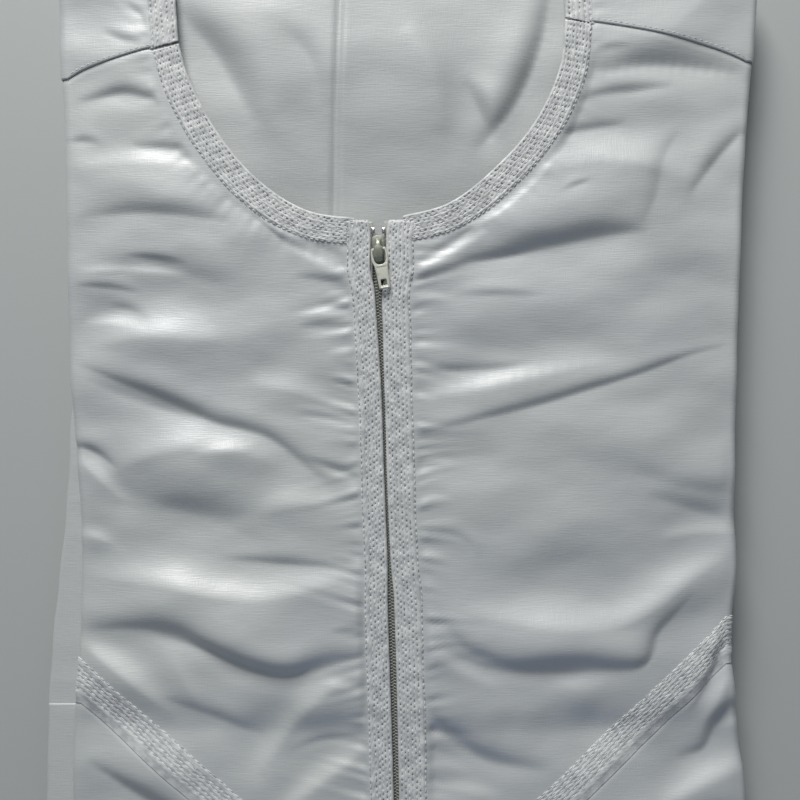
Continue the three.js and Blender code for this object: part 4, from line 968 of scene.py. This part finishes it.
def slider():
    """Two shield plates, the wedge between them, and the bridge over them: narrow above, broad below."""
    shield = [[-1.9, -6.1], [1.9, -6.1], [2.3, -5], [2.4, 1.2], [2.9, 2.2], [2.95, 4.9], [2.5, 5.8],
              [1.4, 6.2], [-1.4, 6.2], [-2.5, 5.8], [-2.95, 4.9], [-2.9, 2.2], [-2.4, 1.2], [-2.3, -5]]
    wedge = [[-0.5, 2], [0.5, 2], [1.3, 4.6], [0.7, 5.9], [-0.7, 5.9], [-1.3, 4.6]]
    climb = soft_path([(-5.2, -0.4), (-5.0, 1.9), (-3.9, 3.2), (-1.6, 3.75), (1.4, 3.7), (3.1, 3.1),
                       (4.3, 1.9), (4.6, -0.4)], 44)
    width = look_up([[-5.3, 1.5], [-4.6, 1.9], [-0.2, 1.95], [0.9, 1.9], [1.4, 1.1], [4.6, 1.0]], climb[:, 0])
    angle = 2 * np.pi * np.arange(14) / 14
    normal = np.gradient(climb, axis=0)[:, ::-1] * [-1, 1]
    normal = normal / np.hypot(*normal.T)[:, None]
    lift = 0.48 * squarer(np.sin(angle), 0.5)
    rings = np.stack([width[:, None] * squarer(np.cos(angle), 0.5)[None],
                      climb[:, :1] + normal[:, :1] * lift, climb[:, 1:] + normal[:, 1:] * lift], -1)
    plates = [pillow_plate(shield, -4.4, -3.4, 0.35), pillow_plate(shield, -1.0, 0.15, 0.35, 0.12),
              pillow_plate(wedge, -3.6, -0.8, 0.2)]
    points, faces = merged([*plates, capped(rings[:, ::-1])])
    mesh_piece("zip_slider_body", points + slider_at, faces, SLIDER_PAINT,
               stands_for=["zip_slider"])


PULL_TILT, PULL_HEIGHT = np.radians(9.8), 2.2


def pull_loop(corners):
    """An outline of the pull's loop, its points counted from one direction so that two outlines pair up."""
    loop = round_loop(corners, 64, 1)
    first = int(np.argmax(np.arctan2(loop[:, 1] - loop[:, 1].mean(), loop[:, 0])))
    return np.roll(loop, -first, 0)


def pull_tab():
    """The pull lying on the zip: a loop round the bridge that narrows to a framed tail with a square eye."""
    loop_in = [[-2.6, -0.6], [2.6, -0.6], [2.7, -2.5], [2.6, -4.4], [1.9, -5.9], [0.8, -6.6], [-0.8, -6.6],
               [-1.9, -5.9], [-2.6, -4.4], [-2.7, -2.5]]
    loop_out = [[-3.1, 0.6], [3.1, 0.6], [3.6, -1.8], [3.6, -4.6], [3.1, -6.6], [2.5, -7.8], [-2.5, -7.8],
                [-3.1, -6.6], [-3.6, -4.6], [-3.6, -1.8]]
    eye = [[-1.3, -13.1], [1.3, -13.1], [1.3, -15.7], [-1.3, -15.7]]
    tail = [[-2.75, -7.2], [2.75, -7.2], [2.3, -17.2], [-2.3, -17.2]]
    parts = [ring_plate(pull_loop(loop_in), pull_loop(loop_out), -0.5, 0.5),
             ring_plate(round_loop(eye, 48, 1), round_loop(tail, 48, 1), -0.36, 0.36, 0.3)]
    for out in OUT.values():
        rail = np.array([[out * 2.6, -6.4, 0.28], [out * 2.35, -9, 0.3], [out * 2.05, -12, 0.3],
                         [out * 1.95, -17.1, 0.28]])
        line = np.stack([np.interp(np.linspace(0, 3, 24), np.arange(4), rail[:, k]) for k in range(3)], 1)
        parts.append(capped(tube(line, 0.36, 0.3, 8)))
    bar = np.stack([np.linspace(-1.9, 1.9, 8), np.full(8, -16.6), np.full(8, 0.3)], 1)
    parts.append(capped(tube(bar, 0.42, 0.26, 8)))
    points, faces = merged(parts)
    cos, sin = np.cos(PULL_TILT), np.sin(PULL_TILT)
    turn = np.array([[cos, -sin, 0], [sin, cos, 0], [0, 0, 1]])
    points = points @ turn.T + slider_at + [0, 0, PULL_HEIGHT]
    mesh_piece("zip_pull_tab", points, faces, PULL_PAINT, body="pull",
               stands_for=["zip_pull"])


tapes = [zip_tape(name) for name in OUT]
zip_coil()
slider()
pull_tab()

for name, out in OUT.items():
    stop = [[out * 1.5, 7.0], [out * 3.0, 7.0], [out * 3.0, 9.6], [out * 1.5, 9.6]][::int(out)]
    points, faces = pillow_plate(stop, -1.0, 0.3, 0.3, 0.1)
    mesh_piece(f"top_stop_{name}_clamp", points + slider_at, faces, STOP_METAL,
               stands_for=[f"top_stop_{name}"])

# ---- the sleeve folded behind, its edge showing at the left -----------------------------------------
SLEEVE_EDGE = [[-158, -155.4], [-128, -154.4], [-88, -153.1], [-59, -151.5], [-24, -147.5], [13, -144.7],
               [38, -143.3], [52, -142], [62, -139.5]]   # as [y, x]
SLEEVE_Z, SLEEVE_ROLL = 12.05, 1.05   # height of its middle, and radius of its fold


def sleeve_part(name, low_y, high_y, swell, node):
    """A length of the flat sleeve's fold: an upper leaf, a half round at the left, and a lower leaf."""
    y = np.arange(low_y, high_y, 0.9)[:, None]
    edge = look_up(SLEEVE_EDGE, y) + 0.35 * np.sin(y / 6.1) * np.sin(y / 17)
    radius = SLEEVE_ROLL + swell
    far = side_x("left", y) + 7.2
    angle = np.radians(np.linspace(90, 270, 11))
    leaf_x = mix(edge + radius, far, np.linspace(1, 0, 12)[:-1])
    turn_x = edge + radius + radius * np.cos(angle)
    x = np.concatenate([leaf_x, turn_x, leaf_x[:, ::-1]], 1)
    dent = 0.12 * np.sin(y / 8.1 + 1.4 * np.sin(y / 13)) * smooth((x - edge) / 3) * smooth((far - x) / 2)
    z = np.concatenate([SLEEVE_Z + radius + 0 * leaf_x, SLEEVE_Z + radius * np.sin(angle) + 0 * turn_x,
                        SLEEVE_Z - radius + 0 * leaf_x], 1)
    z = z - np.abs(dent) * np.sign(z - SLEEVE_Z)
    points = np.stack([x, y + 0 * x, z], -1)
    return mesh_piece(name, points, grid_faces(*x.shape), SATIN_HIDDEN, stands_for=[node], thick=CLOTH)


panels += [sleeve_part("sleeve_fold", -89.6, 60, 0.0, "sleeve_left"),
           sleeve_part("cuff_fold", -158, -88, 0.04, "cuff_left")]

# ---- the hidden folded layers -------------------------------------------------------------------------
FOLDS = 5.2, 10.4, 13      # heights where one fold ends and the next begins
NARROWEST = 2.3            # how far inside the outline the fullest fold is kept
CORNER_Y = HALF_LENGTH - CORNER


def rim_corner(name, sign, start, inside):
    """A quarter round of the rim at one corner, from a starting angle."""
    angle = start + np.pi / 2 * np.linspace(0, 1, 14)
    return np.c_[side_x(name, sign * CORNER_Y, CORNER) + (CORNER - inside) * np.cos(angle),
                 sign * CORNER_Y + (CORNER - inside) * np.sin(angle)]


def rim_end(sign, start, far, inside):
    """The straight end of the rim, from one side to the other."""
    from_x, to_x = (side_x(name, sign * CORNER_Y, CORNER) for name in (start, far))
    share = np.linspace(0, 1, 60)[1:-1]
    return np.c_[mix(from_x, to_x, share), np.full(len(share), sign * (HALF_LENGTH - inside))]


def rim(inside):
    """The outline moved inside by that much, as a ring going anticlockwise from the lower right corner."""
    y = np.linspace(-CORNER_Y, CORNER_Y, 118)[1:-1]
    return np.concatenate([
        rim_corner("right", -1, -np.pi / 2, inside), np.c_[side_x("right", y, inside), y],
        rim_corner("right", 1, 0, inside), rim_end(1, "right", "left", inside),
        rim_corner("left", 1, np.pi / 2, inside), np.c_[side_x("left", -y, inside), -y],
        rim_corner("left", -1, np.pi, inside), rim_end(-1, "left", "right", inside)])


def folded_layers():
    """The stack under the chest: soft swelling edges between grooves, closed above and below by fans. At the
    left it stands back to leave room for the sleeve."""
    first, second, third = FOLDS
    profile = soft_path([
        (5, 0), (3.3, 0.9), (2.6, 2.6), (3.3, 4.4), (5.9, first), (3.4, first + 0.8), (2.5, first + 2.6),
        (3.4, second - 0.8), (6.1, second), (4.2, second + 0.5), (4, third - 0.7), (6.2, third)], 60)
    rings = []
    for inside, z in profile:
        ring = rim(max(inside, NARROWEST))
        place = np.arange(len(ring))
        sway = 0.9 * np.sin(place / 11 + z) + 0.5 * np.sin(place / 4.3 + 2 * z)
        height = np.full(len(ring), z) + 0.55 * np.sin(place / 15 + 1) * smooth(z / 3) * smooth((12 - z) / 3)
        ring = ring * (1 - 0.0035 * (1 + sway))[:, None]
        if z > second:
            clear = smooth((80 - ring[:, 1]) / 14) * smooth((ring[:, 1] + 178) / 10)
            limit = side_x("left", ring[:, 1], 8.6)
            ring[:, 0] = np.where(ring[:, 0] < limit, mix(ring[:, 0], limit, clear), ring[:, 0])
        rings.append(np.c_[ring, height])
    start, gap = 9, 2 * ROLL + 1.2
    for by in (start, 30, 90):
        ring = rim(start) * (1 - np.array([(by - start) / 150, (by - start) / HALF_LENGTH]))
        depth, _, _ = outline(ring[:, 0], ring[:, 1])
        rings.append(np.c_[ring, plain_top(depth) - gap])
    points, faces = capped(np.array(rings))
    return mesh_piece("folded_layers_stack", points, faces, SATIN_HIDDEN, stands_for=["folded_layers"])


layers = folded_layers()

# ---- the area each band's strip was cut to, worked out here and not kept ------------------------------
STRIP_SHARE = 0.97       # of a strip's width by its length, once its ends are cut aslant


for strip, threads, width, length in bands:
    STRIP_SHARE * width * length

# ---- floor, light and camera ----------------------------------------------------------------------------


def table_top():
    """A wide pale table top, faintly uneven."""
    across = np.linspace(-1, 1, 9) * 2.2
    x, y = np.meshgrid(across, across)
    finish = Finish("table_top", Specular_IOR_Level=0.3)
    share = finish.noise((6, 6, 6), 2.0)
    colour = finish.colours(share, (0.47, 0.49, 0.485, 1), (0.44, 0.46, 0.455, 1))
    mesh = bpy.data.meshes.new("table_top")
    mesh.from_pydata(np.stack([x, y, 0 * x], -1).reshape(-1, 3).tolist(), [], grid_faces(9, 9).tolist())
    mesh.materials.append(finish.vary(colour, share * 0.05 + 0.6))
    top = bpy.data.objects.new("table_top", mesh)
    bpy.context.scene.collection.objects.link(top)

def soft_light(name, place, size, watts, colour):
    """A square soft box at a place, facing the middle of the garment."""
    data = bpy.data.lights.new(name, "AREA")
    data.shape, data.size, data.energy, data.color = "SQUARE", size, watts, colour
    light = bpy.data.objects.new(name, data)
    bpy.context.scene.collection.objects.link(light)
    light.location = place
    light.rotation_euler = (Vector((0, 0, 0.02)) - light.location).to_track_quat("-Z", "Y").to_euler()


table_top()
soft_light("window", (-0.3, 1.45, 0.82), 0.65, 28.4, (1.0, 0.995, 0.98))
soft_light("skylight", (-0.2, 0.78, 1.55), 0.6, 3, (1.0, 1.0, 1.0))
soft_light("room", (0.05, -0.8, 0.42), 0.7, 0.9, (0.46, 0.64, 1.0))
world = bpy.data.worlds.new("room_light")
world.use_nodes = True
background = world.node_tree.nodes["Background"].inputs
background["Color"].default_value, background["Strength"].default_value = (0.95, 0.98, 1.0, 1), 0.1
scene = bpy.context.scene
scene.world = world
scene.view_settings.view_transform = "Standard"

lens = bpy.data.cameras.new("camera")
lens.lens, lens.sensor_width = 50, 36
camera = bpy.data.objects.new("camera", lens)
scene.collection.objects.link(camera)
camera.location = (0, 0.04386, 0.4992)
scene.camera = camera

bpy.context.view_layer.update()
